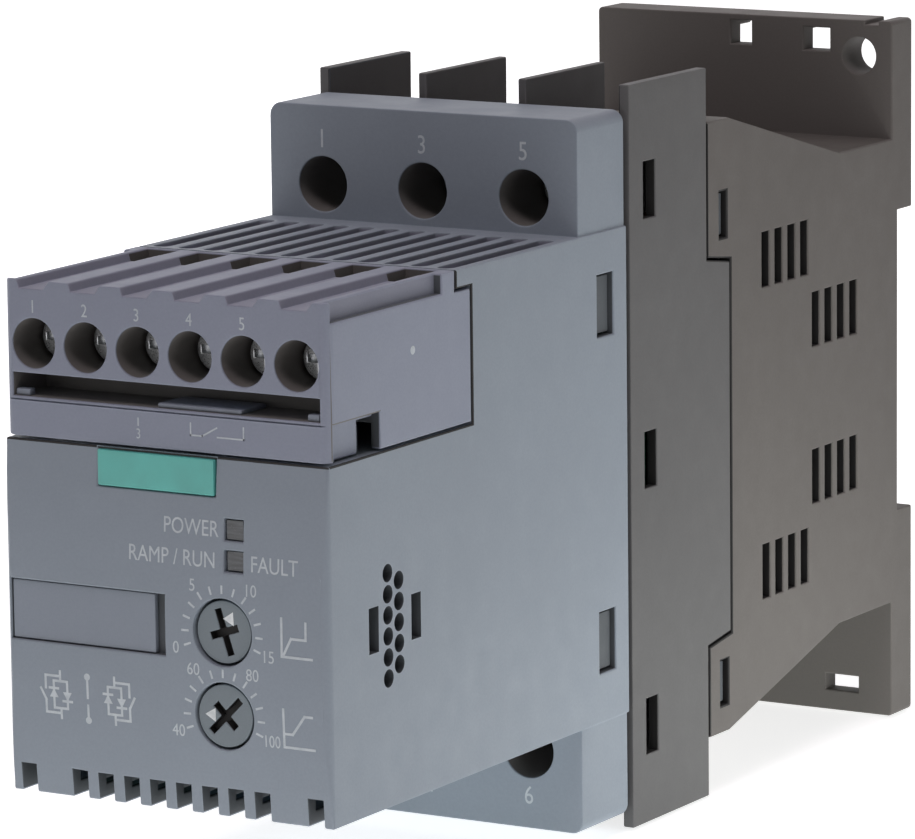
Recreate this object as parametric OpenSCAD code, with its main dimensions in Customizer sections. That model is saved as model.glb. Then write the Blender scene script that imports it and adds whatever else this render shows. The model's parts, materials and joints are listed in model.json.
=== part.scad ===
// Soft starter for one small three-phase motor, 45 mm wide, as separate pieces.
// Millimetres. X runs across the front, Y runs back from the front panel, Z runs up.

/* [Overall] */
// Width of the unit over its side walls
unit_w = 45; // [43:0.5:50]
// Height over the two mounting ears
unit_h = 95; // [93:0.5:100]
// Thickness of the moulded walls
wall = 1.8; // [1.6:0.1:2]
// Gap where two mouldings meet
seam = 0.3; // [0.2:0.05:0.4]
// Gap left round a piece that slides or turns
slide_gap = 0.3; // [0.25:0.05:0.35]
// Gap on the radius between a shaft or thread and its bore
bore_gap = 0.05; // [0.03:0.01:0.08]

/* [Front housing] */
// How far the front panel bulges at its middle
panel_bulge = 1; // [0.6:0.1:1.4]
// Thickness of the front panel behind the bulge
panel_t = 1.6; // [1.4:0.1:1.8]
// Height of the front housing
housing_h = 61.8; // [60.5:0.1:62.5]
// Height of the housing floor above the stand plane
housing_bottom = 15.2; // [14.8:0.1:15.8]
// Depth from the control block's face to the terminal tower
housing_d = 59; // [57:0.5:62]
// Radius of the upright front edges
edge_r = 1.4; // [0.8:0.1:1.8]
// Depth of the terminal tower
tower_d = 11.7; // [11:0.1:12.5]
// Height of the terminal tower
tower_h = 89.6; // [88.5:0.1:90.4]
// Height of the tower's lower end above the stand plane
tower_bottom = 1.8; // [1.4:0.1:2.4]
// How much narrower the tower is on each side
tower_inset = 0.3; // [0.1:0.1:0.6]
// Radius of the tower's corners
tower_r = 1.6; // [1.2:0.1:2.2]

/* [Vents] */
// Spacing of the vent slots in the roof and the floor
vent_pitch = 3.66; // [3.5:0.02:3.7]
// Width of the vent slots in the roof
vent_w = 2.1; // [1.3:0.1:2.3]
// Width of the notches along the lower front edge
notch_w = 2; // [1.6:0.1:2.2]
// Height of the notches along the lower front edge
notch_h = 3.4; // [2.6:0.1:4]
// Diameter of the vent holes in the side walls
side_hole_d = 2.2; // [1.8:0.1:2.3]
// Depth of the notches along the lower front edge
notch_d = 14; // [10:0.5:20]
// Spacing of the vent holes up the side walls
side_hole_pitch = 2.52; // [2.45:0.01:2.6]

/* [Front panel] */
// Sideways place of the two setting knobs
knob_x = 8.1; // [7.5:0.1:8.6]
// Height of the lower knob above the housing floor
knob_low = 12.2; // [11.8:0.1:13]
// Spacing of the two knobs
knob_pitch = 10; // [9.9:0.1:10.4]
// Diameter of a knob's face
knob_d = 7.5; // [7:0.1:7.7]
// How far a knob's face lies behind the crown of the panel
knob_sink = 0.5; // [0.4:0.1:0.8]
// Diameter of a knob's stem
knob_stem_d = 3; // [2.6:0.1:3.4]
// Where the upper knob is set, in degrees clockwise from the top
ramp_set = 27; // [-110:1:110]
// Where the lower knob is set, in degrees clockwise from the top
voltage_set = -90; // [-110:1:110]
// Width of the square status windows
led_w = 2.6; // [2.2:0.1:2.8]
// Height of the square status windows
led_h = 2.4; // [2.2:0.1:2.6]
// Height of the lower status window above the housing floor
led_low = 29.5; // [29:0.1:30]
// Spacing of the two status windows
led_pitch = 3.7; // [3.6:0.1:3.8]
// Width of the label plate
label_w = 20.2; // [16:0.1:20.6]
// Height of the label plate
label_h = 7.1; // [6.5:0.1:7.6]
// Height of the label plate above the housing floor
label_low = 18.8; // [18.2:0.1:19.4]
// Thickness of the label plate
label_t = 0.8; // [0.5:0.1:0.9]
// Width of the coloured name plate
badge_w = 16.2; // [14:0.1:17]
// Height of the coloured name plate
badge_h = 4.3; // [3.8:0.1:4.6]
// Thickness of the coloured name plate
badge_t = 1; // [0.7:0.1:1]

/* [Control block] */
// Height of the pull-off control terminal block
block_h = 19; // [18.6:0.1:19.4]
// Depth of the control block
block_d = 32.4; // [32:0.1:33]
// Spacing of the six control terminals
control_pitch = 7.3; // [7.1:0.05:7.35]
// Diameter of the screwdriver holes in the control block
control_hole_d = 6; // [5.9:0.1:6.2]
// Depth of the control screws' axis below the top of the block
control_drop = 7.5; // [7.3:0.1:7.7]
// Diameter of a control screw's head
control_head_d = 5.2; // [4.8:0.1:5.3]
// Thread diameter of a control screw
control_thread_d = 3; // [2.5:0.1:3.2]
// Travel of a control clamp
control_travel = 4; // [3.9:0.1:4.2]

/* [Power terminals] */
// Spacing of the three poles
power_pitch = 14.5; // [14.3:0.1:14.7]
// Diameter of the screwdriver holes in the tower
power_hole_d = 7; // [6.8:0.1:7.4]
// Depth of the terminal axis inside the tower's end
power_drop = 10; // [9.8:0.1:10.3]
// Diameter of a power screw's head
power_head_d = 6.2; // [5.8:0.1:6.4]
// Thread diameter of a power screw
power_thread_d = 4; // [3.5:0.1:4.2]
// Travel of a power clamp
power_travel = 4.2; // [4:0.1:4.4]
// Width of a busbar
busbar_w = 9.2; // [8.6:0.1:9.4]
// Thickness of a busbar
busbar_t = 1.6; // [1.2:0.1:1.8]

/* [Middle frame] */
// Gap in front of the middle frame's walls
frame_gap = 0.8; // [0.6:0.1:1.2]
// Depth of the middle frame over the terminals
frame_d = 20.2; // [20:0.1:21]
// Height of the phase barriers
frame_h = 94.4; // [93:0.1:94.9]
// Thickness of the middle frame's outer walls
frame_wall = 1.5; // [1.3:0.1:1.6]
// Thickness of the barriers between the poles
barrier_t = 1.2; // [1:0.1:1.4]
// How far the middle of the side walls reaches back
tab_d = 6.1; // [5.5:0.1:6.8]

/* [Rear base] */
// Depth of the rear base without its ears
base_d = 52.3; // [52:0.1:55]
// Height of the rear base at its front
base_front_h = 79.9; // [79:0.1:80.5]
// Height of the rear base at its rear
base_rear_h = 63.4; // [62.8:0.1:64]
// Depth of the mounting ears
ear_d = 6; // [5.8:0.1:6.4]
// Thickness of the ears' plate
ear_t = 3; // [2.8:0.1:3.1]
// Radius of the ears' corners
ear_r = 0.6; // [0.3:0.1:2.5]
// Diameter of the mounting holes
mount_hole_d = 5; // [4.5:0.1:5.2]
// Sideways distance between the mounting holes
mount_span = 35; // [34.5:0.1:35.2]
// Distance of a mounting hole from the ear's end
mount_edge = 4.8; // [4.6:0.1:5.4]
// Height of the rail recess
rail_gap = 41; // [40.4:0.1:41.4]
// Travel of the rail latch
latch_travel = 4.5; // [4:0.1:4.8]

/* [Inside] */
// Thickness of the circuit boards
board_t = 1.6; // [1.4:0.1:1.8]
// Thickness of a heat sink fin
fin_t = 1.5; // [1.2:0.1:1.8]
// Spacing of the heat sink fins
fin_pitch = 4; // [3.6:0.1:4]
// Thickness of the heat sink's plate
sink_t = 4; // [3.4:0.1:4.6]

/* [Hidden] */
$fn = 64;
arc_fn = 256;
eps = 0.5;
far = 200;
half_w = unit_w / 2;
in_x = half_w - wall;

// Places along Y, from the front panel's crown to the mounting plane
y_face = panel_bulge;
y_panel = panel_bulge + panel_t;
y_tower = y_face + housing_d;
y_split = y_tower + tower_d;
y_frame = y_split + frame_gap;
y_base = y_frame + frame_d;
y_tab = y_base + tab_d;
y_ear = y_base + base_d;
y_back = y_ear + ear_d;

// Places along Z
z_floor = housing_bottom;
z_top = housing_bottom + housing_h;
z_deck = z_top - block_h;
z_block = z_deck + seam;
z_tow0 = tower_bottom;
z_tow1 = tower_bottom + tower_h;
z_line = z_tow1 - power_drop;
z_load = z_tow0 + power_drop;
z_mid = (z_line + z_load) / 2;
panel_h = z_deck - z_floor;
panel_r = panel_h * panel_h / (8 * panel_bulge) + panel_bulge / 2;
panel_mid = z_floor + panel_h / 2;

// Control block and its terminals
y_block1 = y_face + block_d;
y_pocket = y_block1 + seam;
lip_d = 3.6;
lip_h = 2.3;
roof_slot_y = y_pocket + wall + 0.6;
groove_deep = 1.1;
groove_edge = 0.8;
strip_h = 4.4;
slot_h = 2.8;
slot_d = 7;
grip_y0 = 8.2;
grip_y1 = 11.5;
grip_shallow = 1.2;
grip_deep = 3;
grip_roof = 0.6;
block_wall = 1.4;
z_control = z_top - control_drop;
control_head_y = y_face + 5.7;
control_head_t = 2;
control_bar_t = 1;
control_cage_t = 0.6;
control_plate_t = 1;
control_cage_h = 6;
recess_w = 0.9;
recess_share = 0.38;
chamber_w = control_pitch - 1;
control_cage_w = chamber_w - 2 * slide_gap;
control_bar_w = control_cage_w - 2 * control_cage_t - 2 * slide_gap;
control_cage_y1 = y_block1 - 2 * block_wall - slide_gap;
control_wire_y1 = control_cage_y1 - control_plate_t;
control_wire_y0 = control_wire_y1 - control_travel - slide_gap;
control_bar_y = control_wire_y0 - control_bar_t;
control_tip_y = control_bar_y - slide_gap;
control_cage_y0 = control_bar_y - 2 * control_plate_t;
chamber_y1 = y_block1 - 2 * block_wall;
chamber_z0 = z_block + strip_h + 0.4;
chamber_z1 = z_top - 3.8;
tail_t = 1;
tail_w = 3;
tail_y = y_pocket + wall + 4;
header_d = 6;
header_edge = 0.65;
header_x = control_x(5) + tail_w / 2 + header_edge;

// Power terminals
power_head_y = y_split - 1.2;
power_head_t = 2.5;
power_plate_t = 1.6;
power_cage_t = 1;
power_cage_h = 8;
power_cage_w = busbar_w + 2 * slide_gap + 2 * power_cage_t;
power_cage_y0 = power_head_y + power_head_t + slide_gap + power_travel;
busbar_y = power_cage_y0 + power_plate_t + 0.9;
power_wire_y0 = busbar_y + busbar_t;
power_wire_y1 = power_wire_y0 + power_travel + slide_gap;
power_cage_y1 = power_wire_y1 + power_plate_t;
busbar_top = z_line + power_cage_h / 2 + 0.6;
busbar_low = z_line - 21.4;

// Middle frame
shelf_t = 1.5;
z_shelf = z_line - 12.4;
roof_low = z_line + power_cage_h / 2 + 1.1;
bulk_y = power_cage_y1 + slide_gap;
tongue_t = 1.2;
tongue_w = 7.2;
tongue_x1 = in_x - 0.15;
tongue_x0 = tongue_x1 - tongue_t;
snap_y = y_split - 7.5;
snap_d = 4.1;
snap_high = z_mid + 21.2;
frame_win_y = y_frame + 3.6;
frame_win_d = 3.1;
frame_win_h = 7.2;
tab_z0 = unit_h / 2 - 26.9;
tab_z1 = unit_h / 2 + 21.4;
tab_slope = 0.9;

// Rear base
base_y0 = y_base + seam;
base_mid = unit_h / 2;
base_lo = base_mid - base_front_h / 2;
base_hi = base_mid + base_front_h / 2;
rear_lo = base_mid - base_rear_h / 2;
rear_hi = base_mid + base_rear_h / 2;
slope_y0 = y_base + 5.7;
slope_y1 = y_ear - 15.4;
rear_win_y = y_base + 3.2;
rear_win_d = 2.2;
rear_win_h = 6;
rear_win_z = [base_mid - 33.4, base_mid + 27.6];
base_vent_pitch = 3.6;
base_vent_w = 2.1;
base_vent_h = 7.2;
base_vent_groups = [[9.3, 20.3], [23.4, 10.5], [23.4, -10.5], [9.3, -20.8]];
ear_cuts = [[[-1.9, 1.2], 0.85, 3.25], [[9.2, 13.1], 1.3, 3.1]];
ear_dent = [18.4, 20.4];
ear_dent_deep = 0.6;
foot_cut = [12.4, 17.4];
foot_cut_z = 2.8;
rail_y = y_ear + wall;
rail_hi = base_mid + 21.9;
rail_lo = rail_hi - rail_gap;
rail_edge = rail_hi - 0.5;
rail_w = 35;
claw_y = rail_y + 1.6;

// Rail latch
latch_w = 16;
latch_t = 1.6;
latch_y = y_ear + ear_t + slide_gap;
latch_z0 = 0.4;
latch_z1 = rail_edge - rail_w - slide_gap;
latch_lip = 1.5;
guide_w = 1.6;
latch_win_w = 4.6;
latch_win_z0 = 1 + latch_travel;
latch_win_z1 = latch_win_z0 + 14.5;
post_z1 = latch_win_z0 + 4.5;
spring_r = 1.25;
spring_wire = 0.5;
spring_turns = 6;
spring_y = latch_y + 0.2;

// Boards and what they carry
board_back = 8;
board_y = y_face + board_back;
board_gap = 2.4;
board_rim = 1;
board_lift = 0.7;
board_half = panel_h / 2 - wall - board_gap;
board_mid = panel_mid + board_lift;
board_screw_in = 2.7;
board_screw_x = in_x - board_rim - board_screw_in;
board_screw_edge = 2.4;
board_screw_z = board_half - board_screw_edge;
board_screw_d = 1.5;
board_head_d = 3.4;
board_head_t = 1.2;
board_post_d = 4.6;
board_post_deep = 5;
power_board_y = busbar_y - board_t;
power_board_w = 2 * (in_x - seam);
power_board_h = 40.8;
power_board_z0 = z_mid - power_board_h / 2;
power_board_z1 = z_mid + power_board_h / 2;
power_screw_in = 1.8;
power_screw_x = power_board_w / 2 - power_screw_in;
power_screw_z = 7.5;
power_screw_d = 2;
power_pan_d = 3.6;
power_pan_t = 1.4;
power_post_deep = 2;
sink_rim = 0.5;
sink_h = 67;
sink_y = y_base + 7.3;
sink_screw_d = 3;
sink_screw_in = 3.8;
sink_screw_x = in_x - sink_rim - sink_screw_in;
sink_screw_edge = 5;
sink_screw_z = sink_h / 2 - sink_screw_edge;
sink_pan_d = 5.5;
sink_pan_t = 2;
screw_play = 0.4;
fin_gap = 1;
fin_y1 = y_ear - 2 * fin_gap;
lug_d = 6;
lug_w = 7;
module_x = 2;
module_w = 16;
module_h = 26;
module_d = 8;
pin_pitch = 6;
pin_d = 1;
relay_w = 14;
relay_h = 28;
relay_d = 21;
relay_left_x = -13.8;
relay_right_x = 2.2;
riser_in = 4.3;
riser_x = -in_x + riser_in;
riser_z0 = panel_mid - 8.6;
riser_z1 = panel_mid + 13.4;
knob_z = [z_floor + knob_low + knob_pitch, z_floor + knob_low];
led_z = [z_floor + led_low + led_pitch, z_floor + led_low];
led_x = 9.7;
knob_hole_d = knob_d + 2 * slide_gap;
knob_flange_d = knob_d + 1.9;
knob_flange_y = y_panel + slide_gap;
knob_flange_t = 1.6;
trimmer_y = knob_flange_y + knob_flange_t + slide_gap;
trimmer_w = 7.2;
knob_slot_w = 0.9;
knob_slot_deep = 1.2;
knob_arms = [[-45, 0.76], [45, 0.52]];
label_x = -half_w + 0.9;
label_floor = 1.2;
badge_x = -9.2;
badge_z = z_deck - 0.3 - badge_h;
badge_floor = y_face + 0.5;

// Pole and terminal places across the front
function pole_x(i) = (i - 1) * power_pitch;
function control_x(i) = (i - 2.5) * control_pitch;
function vent_x(k) = (k - 5.5) * vent_pitch;

// Puts the unit's middle over the origin
module place() {
  translate([0, -y_back / 2, 0]) children();
}

// Block between two corners, each span given as [low, high]
module span(x, y, z) {
  translate([x[0], y[0], z[0]]) cube([x[1] - x[0], y[1] - y[0], z[1] - z[0]]);
}

// Children and their mirror image across the middle plane
module both_sides() {
  children();
  mirror([1, 0, 0]) children();
}

// Upper and lower copies about the height between the two terminal rows
module both_rows() {
  children();
  load_row() children();
}

// Upper row turned over to make the lower row
module load_row() {
  translate([0, 0, 2 * z_mid]) mirror([0, 0, 1]) children();
}

// Children at the four screws of the control board
module board_corners() {
  for (s = [-1, 1], t = [-1, 1]) translate([s * board_screw_x, 0, board_mid + t * board_screw_z]) children();
}

// Children at the four screws of the power board
module power_corners() {
  for (s = [-1, 1], t = [-1, 1]) translate([s * power_screw_x, 0, z_mid + t * power_screw_z]) children();
}

// Children at the four screws of the heat sink
module sink_corners() {
  for (s = [-1, 1], t = [-1, 1]) translate([s * sink_screw_x, 0, base_mid + t * sink_screw_z]) children();
}

// Round bar along Y
module rod_y(x, z, y, d) {
  translate([x, y[1], z]) rotate([90, 0, 0]) cylinder(h = y[1] - y[0], d = d);
}

// Round hole along X through both side walls
module side_hole(y, z, d) {
  translate([-far / 2, y, z]) rotate([0, 90, 0]) cylinder(h = far, d = d);
}

// Flat shape in Y and Z, drawn out along X
module along_x(x) {
  rotate([90, 0, 90]) translate([0, 0, x[0]]) linear_extrude(x[1] - x[0]) children();
}

// Flat shape in X and Z, drawn out along Y
module along_y(y) {
  translate([0, y[1], 0]) rotate([90, 0, 0]) linear_extrude(y[1] - y[0]) children();
}

// Rectangle with round corners
module round_rect(x, z, r) {
  translate([x[0] + r, z[0]]) square([x[1] - x[0] - 2 * r, z[1] - z[0]]);
  translate([x[0], z[0] + r]) square([x[1] - x[0], z[1] - z[0] - 2 * r]);
  for (a = [x[0] + r, x[1] - r], b = [z[0] + r, z[1] - r]) translate([a, b]) circle(r = r);
}

// Plan of a moulding with its two front edges rounded
module front_plan(y0, y1) {
  translate([-half_w, y0 + edge_r]) square([unit_w, y1 - y0 - edge_r]);
  translate([-half_w + edge_r, y0]) square([unit_w - 2 * edge_r, y1 - y0]);
  for (s = [-1, 1]) translate([s * (half_w - edge_r), y0 + edge_r]) circle(r = edge_r);
}

// Slot with round ends, drawn along Y in plan
module plan_slot(x, y, w) {
  translate([x - w / 2, y[0] + w / 2]) square([w, y[1] - y[0] - w]);
  for (b = [y[0] + w / 2, y[1] - w / 2]) translate([x, b]) circle(d = w);
}

// Front housing: bulged panel, deck for the control block and terminal tower
module front_housing() {
  color([0.47, 0.5, 0.54]) place() difference() {
    union() {
      difference() {
        union() {
          housing_body();
          tower_body();
        }
        housing_cavity();
      }
      both_rows() for (i = [0:2])
        rod_y(pole_x(i), z_line, [y_tower, y_split], power_hole_d + 2 * block_wall);
      board_corners() rod_y(0, 0, [y_panel - eps, board_y], board_post_d);
    }
    both_rows() for (i = [0:2]) rod_y(pole_x(i), z_line, [y_tower - eps, y_split + eps], power_hole_d);
    board_corners() rod_y(0, 0, [board_y - board_post_deep, board_y + eps], board_screw_d + 2 * bore_gap);
    panel_openings();
    housing_vents();
    for (z = [snap_high, 2 * z_mid - snap_high])
      both_sides() span([in_x - eps, far], [snap_y, snap_y + snap_d],
        [z - tongue_w / 2 - seam, z + tongue_w / 2 + seam]);
    span([-control_x(5) - 2.2, control_x(5) + 2.2], [y_pocket - eps, y_pocket + wall + eps],
      [chamber_z0 - 0.4, chamber_z0 + tail_t + 0.4]);
  }
}

// Outer block of the housing with the arched panel and the pocket for the control block
module housing_body() {
  difference() {
    intersection() {
      along_x([-half_w, half_w]) intersection() {
        translate([0, z_floor]) square([y_split, housing_h]);
        translate([panel_r, panel_mid]) circle(r = panel_r, $fn = arc_fn);
      }
      translate([0, 0, z_floor - eps]) linear_extrude(housing_h + 2 * eps) front_plan(0, y_split);
    }
    span([-far, far], [-eps, y_pocket], [z_deck, z_top - lip_h]);
    span([-far, far], [-eps, y_pocket - lip_d], [z_deck, z_top + eps]);
  }
}

// Terminal tower
module tower_body() {
  along_y([y_tower, y_split])
    round_rect([-half_w + tower_inset, half_w - tower_inset], [z_tow0, z_tow1], tower_r);
}

// Hollow inside of the housing and the tower
module housing_cavity() {
  span([-in_x, in_x], [y_panel, y_split + eps], [z_floor + wall, z_deck - wall]);
  span([-in_x, in_x], [y_pocket + wall, y_split + eps], [z_floor + wall, z_top - wall]);
  span([-in_x + tower_inset, in_x - tower_inset], [y_tower + wall, y_split + eps],
    [z_tow0 + wall, z_tow1 - wall]);
}

// Openings and seats in the front panel
module panel_openings() {
  for (z = knob_z) rod_y(knob_x, z, [-eps, y_panel + eps], knob_hole_d);
  for (z = led_z)
    span([led_x - led_w / 2, led_x + led_w / 2], [-eps, y_panel + eps], [z - 0.1, z + led_h + 0.1]);
  span([label_x - 0.1, label_x + label_w + 1.5], [-eps, label_floor],
    [z_floor + label_low - 0.1, z_floor + label_low + label_h + 0.1]);
  span([badge_x - 0.1, badge_x + badge_w + 0.1], [-eps, badge_floor],
    [badge_z - 0.1, badge_z + badge_h + 0.1]);
}

// Vents in the roof, the lower front edge and the side walls
module housing_vents() {
  for (k = [0:11]) {
    translate([0, 0, z_top - lip_h - eps]) linear_extrude(lip_h + 2 * eps)
      plan_slot(vent_x(k), [roof_slot_y, y_tower - 3.5], vent_w);
    translate([0, 0, z_top - groove_deep]) linear_extrude(groove_deep + eps)
      plan_slot(vent_x(k), [y_pocket - lip_d + groove_edge, roof_slot_y + 2 * vent_w], vent_w);
    if (k != 1 && k != 10)
      span([vent_x(k) - notch_w / 2, vent_x(k) + notch_w / 2], [-eps, notch_d],
        [z_floor - eps, z_floor + notch_h]);
  }
  for (k = [0:5]) side_hole(y_face + 12.6, panel_mid + (k - 2.3) * side_hole_pitch, side_hole_d);
  for (k = [0:4]) side_hole(y_face + 15.1, panel_mid + (k - 1.8) * side_hole_pitch, side_hole_d);
  for (y = [y_face + 8.3, y_face + 17.9])
    span([-far, far], [y, y + side_hole_d], [panel_mid - 2.2, panel_mid + 3.3]);
}

// Pull-off control terminal block
module control_block() {
  color([0.46, 0.48, 0.53]) place() difference() {
    intersection() {
      along_x([-half_w, half_w]) polygon([
        [y_face, z_block], [y_block1, z_block], [y_block1, z_top - lip_h - seam],
        [y_block1 - lip_d, z_top - lip_h - seam], [y_block1 - lip_d, z_top], [y_face, z_top]]);
      translate([0, 0, z_block - eps]) linear_extrude(block_h + 2 * eps) front_plan(y_face, y_block1);
    }
    // hollow underneath
    span([-half_w + block_wall, half_w - block_wall], [y_face + block_wall, y_block1 - block_wall],
      [z_block - eps, z_block + strip_h - block_wall]);
    // side pockets beside the marking strip, open to the hollow at their rear ends
    both_sides() {
      span([half_w - grip_shallow, far], [y_face + 1.2, y_face + grip_y1],
        [z_block - eps, z_block + strip_h]);
      span([half_w - grip_deep, far], [y_face + grip_y0, y_face + grip_y1],
        [z_block - eps, z_block + strip_h - grip_roof]);
    }
    // fine line over the marking strip and the wide slot above it
    span([-far, far], [y_face - eps, y_face + 0.3], [z_block + strip_h - 0.1, z_block + strip_h + 0.1]);
    span([-half_w + 1.2, half_w - 1.2], [y_face - eps, y_face + slot_d],
      [z_block + strip_h + 0.4, z_block + strip_h + 0.4 + slot_h]);
    // ledges along both upper edges
    both_sides() span([half_w - 1.1, far], [y_face + 1, y_block1 - lip_d - 3],
      [z_top - 2.4, z_top + eps]);
    for (i = [0:5]) control_chamber(control_x(i));
  }
}

// Room in the control block for one terminal
module control_chamber(x) {
  // screwdriver hole
  rod_y(x, z_control, [y_face - eps, y_face + 9], control_hole_d);
  // chamber for clamp and contact
  span([x - chamber_w / 2, x + chamber_w / 2], [y_face + 8.6, chamber_y1], [chamber_z0, chamber_z1]);
  // wire funnel
  span([x - control_cage_w / 2 + control_cage_t, x + control_cage_w / 2 - control_cage_t],
    [control_wire_y0, control_wire_y1], [chamber_z1 - eps, z_top + eps]);
  // shallow wire groove on top
  along_y([y_face - eps, control_wire_y1]) polygon([
    [x - 2.4, z_top + eps], [x - 1.9, z_top - 1], [x + 1.4, z_top - 1], [x + 2.6, z_top + eps]]);
  // way out for the contact's tail
  span([x - tail_w / 2 - 0.2, x + tail_w / 2 + 0.2], [chamber_y1 - eps, y_block1 + eps],
    [chamber_z0, chamber_z0 + tail_t + 0.2]);
}

// Six contacts of the control block
module control_contacts() {
  color([0.8, 0.66, 0.36]) place() for (i = [0:5]) {
    span([control_x(i) - control_bar_w / 2, control_x(i) + control_bar_w / 2],
      [control_bar_y, control_bar_y + control_bar_t], [chamber_z0, z_control + control_cage_h / 2]);
    span([control_x(i) - tail_w / 2, control_x(i) + tail_w / 2], [control_bar_y, tail_y],
      [chamber_z0, chamber_z0 + tail_t]);
  }
}

// Socket behind the control block
module control_header() {
  color([0.16, 0.16, 0.17]) place() difference() {
    span([-header_x, header_x], [y_pocket + wall, y_pocket + wall + header_d],
      [chamber_z0 - 2, chamber_z0 + tail_t + 2]);
    for (i = [0:5])
      span([control_x(i) - tail_w / 2 - slide_gap, control_x(i) + tail_w / 2 + slide_gap],
        [y_pocket + wall - eps, tail_y + slide_gap],
        [chamber_z0 - slide_gap, chamber_z0 + tail_t + slide_gap]);
  }
}

// Screw with a crossed recess in its head
module terminal_screw(x, z, y_head, head_t, head_d, thread_d, y_tip) {
  difference() {
    union() {
      rod_y(x, z, [y_head, y_head + head_t], head_d);
      rod_y(x, z, [y_head + head_t - eps, y_tip], thread_d);
    }
    for (a = [0, 90]) translate([x, 0, z]) rotate([0, a, 0])
      span([-head_d * recess_share, head_d * recess_share], [y_head - eps, y_head + head_t / 2],
        [-recess_w / 2, recess_w / 2]);
  }
}

// Clamp: a box open above and below, with a threaded front wall
module clamp_cage(x, z, w, h, t, y0, y1, plate_t, thread_d) {
  difference() {
    span([x - w / 2, x + w / 2], [y0, y1], [z - h / 2, z + h / 2]);
    span([x - w / 2 + t, x + w / 2 - t], [y0 + plate_t, y1 - plate_t], [z - h, z + h]);
    rod_y(x, z, [y0 - eps, y0 + plate_t + eps], thread_d + 2 * bore_gap);
  }
}

// One control screw
module control_screw(i) {
  color([0.75, 0.76, 0.78]) place() terminal_screw(control_x(i), z_control, control_head_y,
    control_head_t, control_head_d, control_thread_d, control_tip_y);
}

// One control clamp
module control_cage(i) {
  color([0.72, 0.73, 0.75]) place() clamp_cage(control_x(i), z_control, control_cage_w, control_cage_h,
    control_cage_t, control_cage_y0, control_cage_y1, control_plate_t, control_thread_d);
}

// One power screw of the upper row
module power_screw(i) {
  terminal_screw(pole_x(i), z_line, power_head_y, power_head_t, power_head_d, power_thread_d,
    busbar_y - slide_gap);
}

// One power clamp of the upper row
module power_cage(i) {
  clamp_cage(pole_x(i), z_line, power_cage_w, power_cage_h, power_cage_t, power_cage_y0, power_cage_y1,
    power_plate_t, power_thread_d);
}

// One busbar of the upper row
module busbar(i) {
  span([pole_x(i) - busbar_w / 2, pole_x(i) + busbar_w / 2], [busbar_y, busbar_y + busbar_t],
    [busbar_low, busbar_top]);
}

module line_screw(i) {
  color([0.74, 0.75, 0.77]) place() power_screw(i);
}

module load_screw(i) {
  color([0.74, 0.75, 0.77]) place() load_row() power_screw(i);
}

module line_cage(i) {
  color([0.7, 0.71, 0.73]) place() power_cage(i);
}

module load_cage(i) {
  color([0.7, 0.71, 0.73]) place() load_row() power_cage(i);
}

module line_busbar(i) {
  color([0.78, 0.5, 0.34]) place() busbar(i);
}

module load_busbar(i) {
  color([0.78, 0.5, 0.34]) place() load_row() busbar(i);
}

// Middle frame with the phase barriers
module middle_frame() {
  color([0.36, 0.36, 0.36]) place() difference() {
    union() {
      both_sides() along_x([half_w - frame_wall, half_w]) polygon([
        [y_frame, 0], [y_base, 0], [y_base, tab_z0 - tab_slope], [y_tab, tab_z0],
        [y_tab, tab_z1], [y_base, tab_z1 + tab_slope], [y_base, frame_h], [y_frame, frame_h]]);
      frame_row(frame_h);
      load_row() frame_row(2 * z_mid);
      frame_tongues();
      both_sides() for (z = [-power_screw_z, power_screw_z])
        span([power_screw_x - 2, half_w - frame_wall / 2], [busbar_y, busbar_y + 3],
          [z_mid + z - 2.5, z_mid + z + 2.5]);
    }
    for (z = [z_line - 0.6, z_mid, z_load + 0.6])
      both_sides() span([in_x - 0.2, far], [frame_win_y, frame_win_y + frame_win_d],
        [z - frame_win_h / 2, z + frame_win_h / 2]);
    both_rows() for (i = [0:2])
      span([pole_x(i) - busbar_w / 2 - 0.2, pole_x(i) + busbar_w / 2 + 0.2],
        [busbar_y - 0.2, busbar_y + busbar_t + 0.2], [z_shelf - eps, z_shelf + shelf_t + eps]);
    power_corners() rod_y(0, 0, [busbar_y - eps, busbar_y + 2.5], power_screw_d + 2 * bore_gap);
  }
}

// Barriers, shelf, roof and rear wall of the upper terminal row
module frame_row(top) {
  both_sides() span([power_pitch / 2 - barrier_t / 2, power_pitch / 2 + barrier_t / 2],
    [y_frame, y_base], [z_shelf, top]);
  span([-half_w + frame_wall / 2, half_w - frame_wall / 2], [y_frame, bulk_y + shelf_t],
    [z_shelf, z_shelf + shelf_t]);
  span([-half_w + frame_wall / 2, half_w - frame_wall / 2], [bulk_y, bulk_y + shelf_t],
    [z_shelf, roof_low + shelf_t]);
  span([-half_w + frame_wall / 2, half_w - frame_wall / 2], [bulk_y, y_base],
    [roof_low, roof_low + shelf_t]);
  span([-half_w + frame_wall / 2, half_w - frame_wall / 2], [y_frame, power_wire_y0 - 0.4],
    [roof_low, roof_low + shelf_t]);
}

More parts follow.
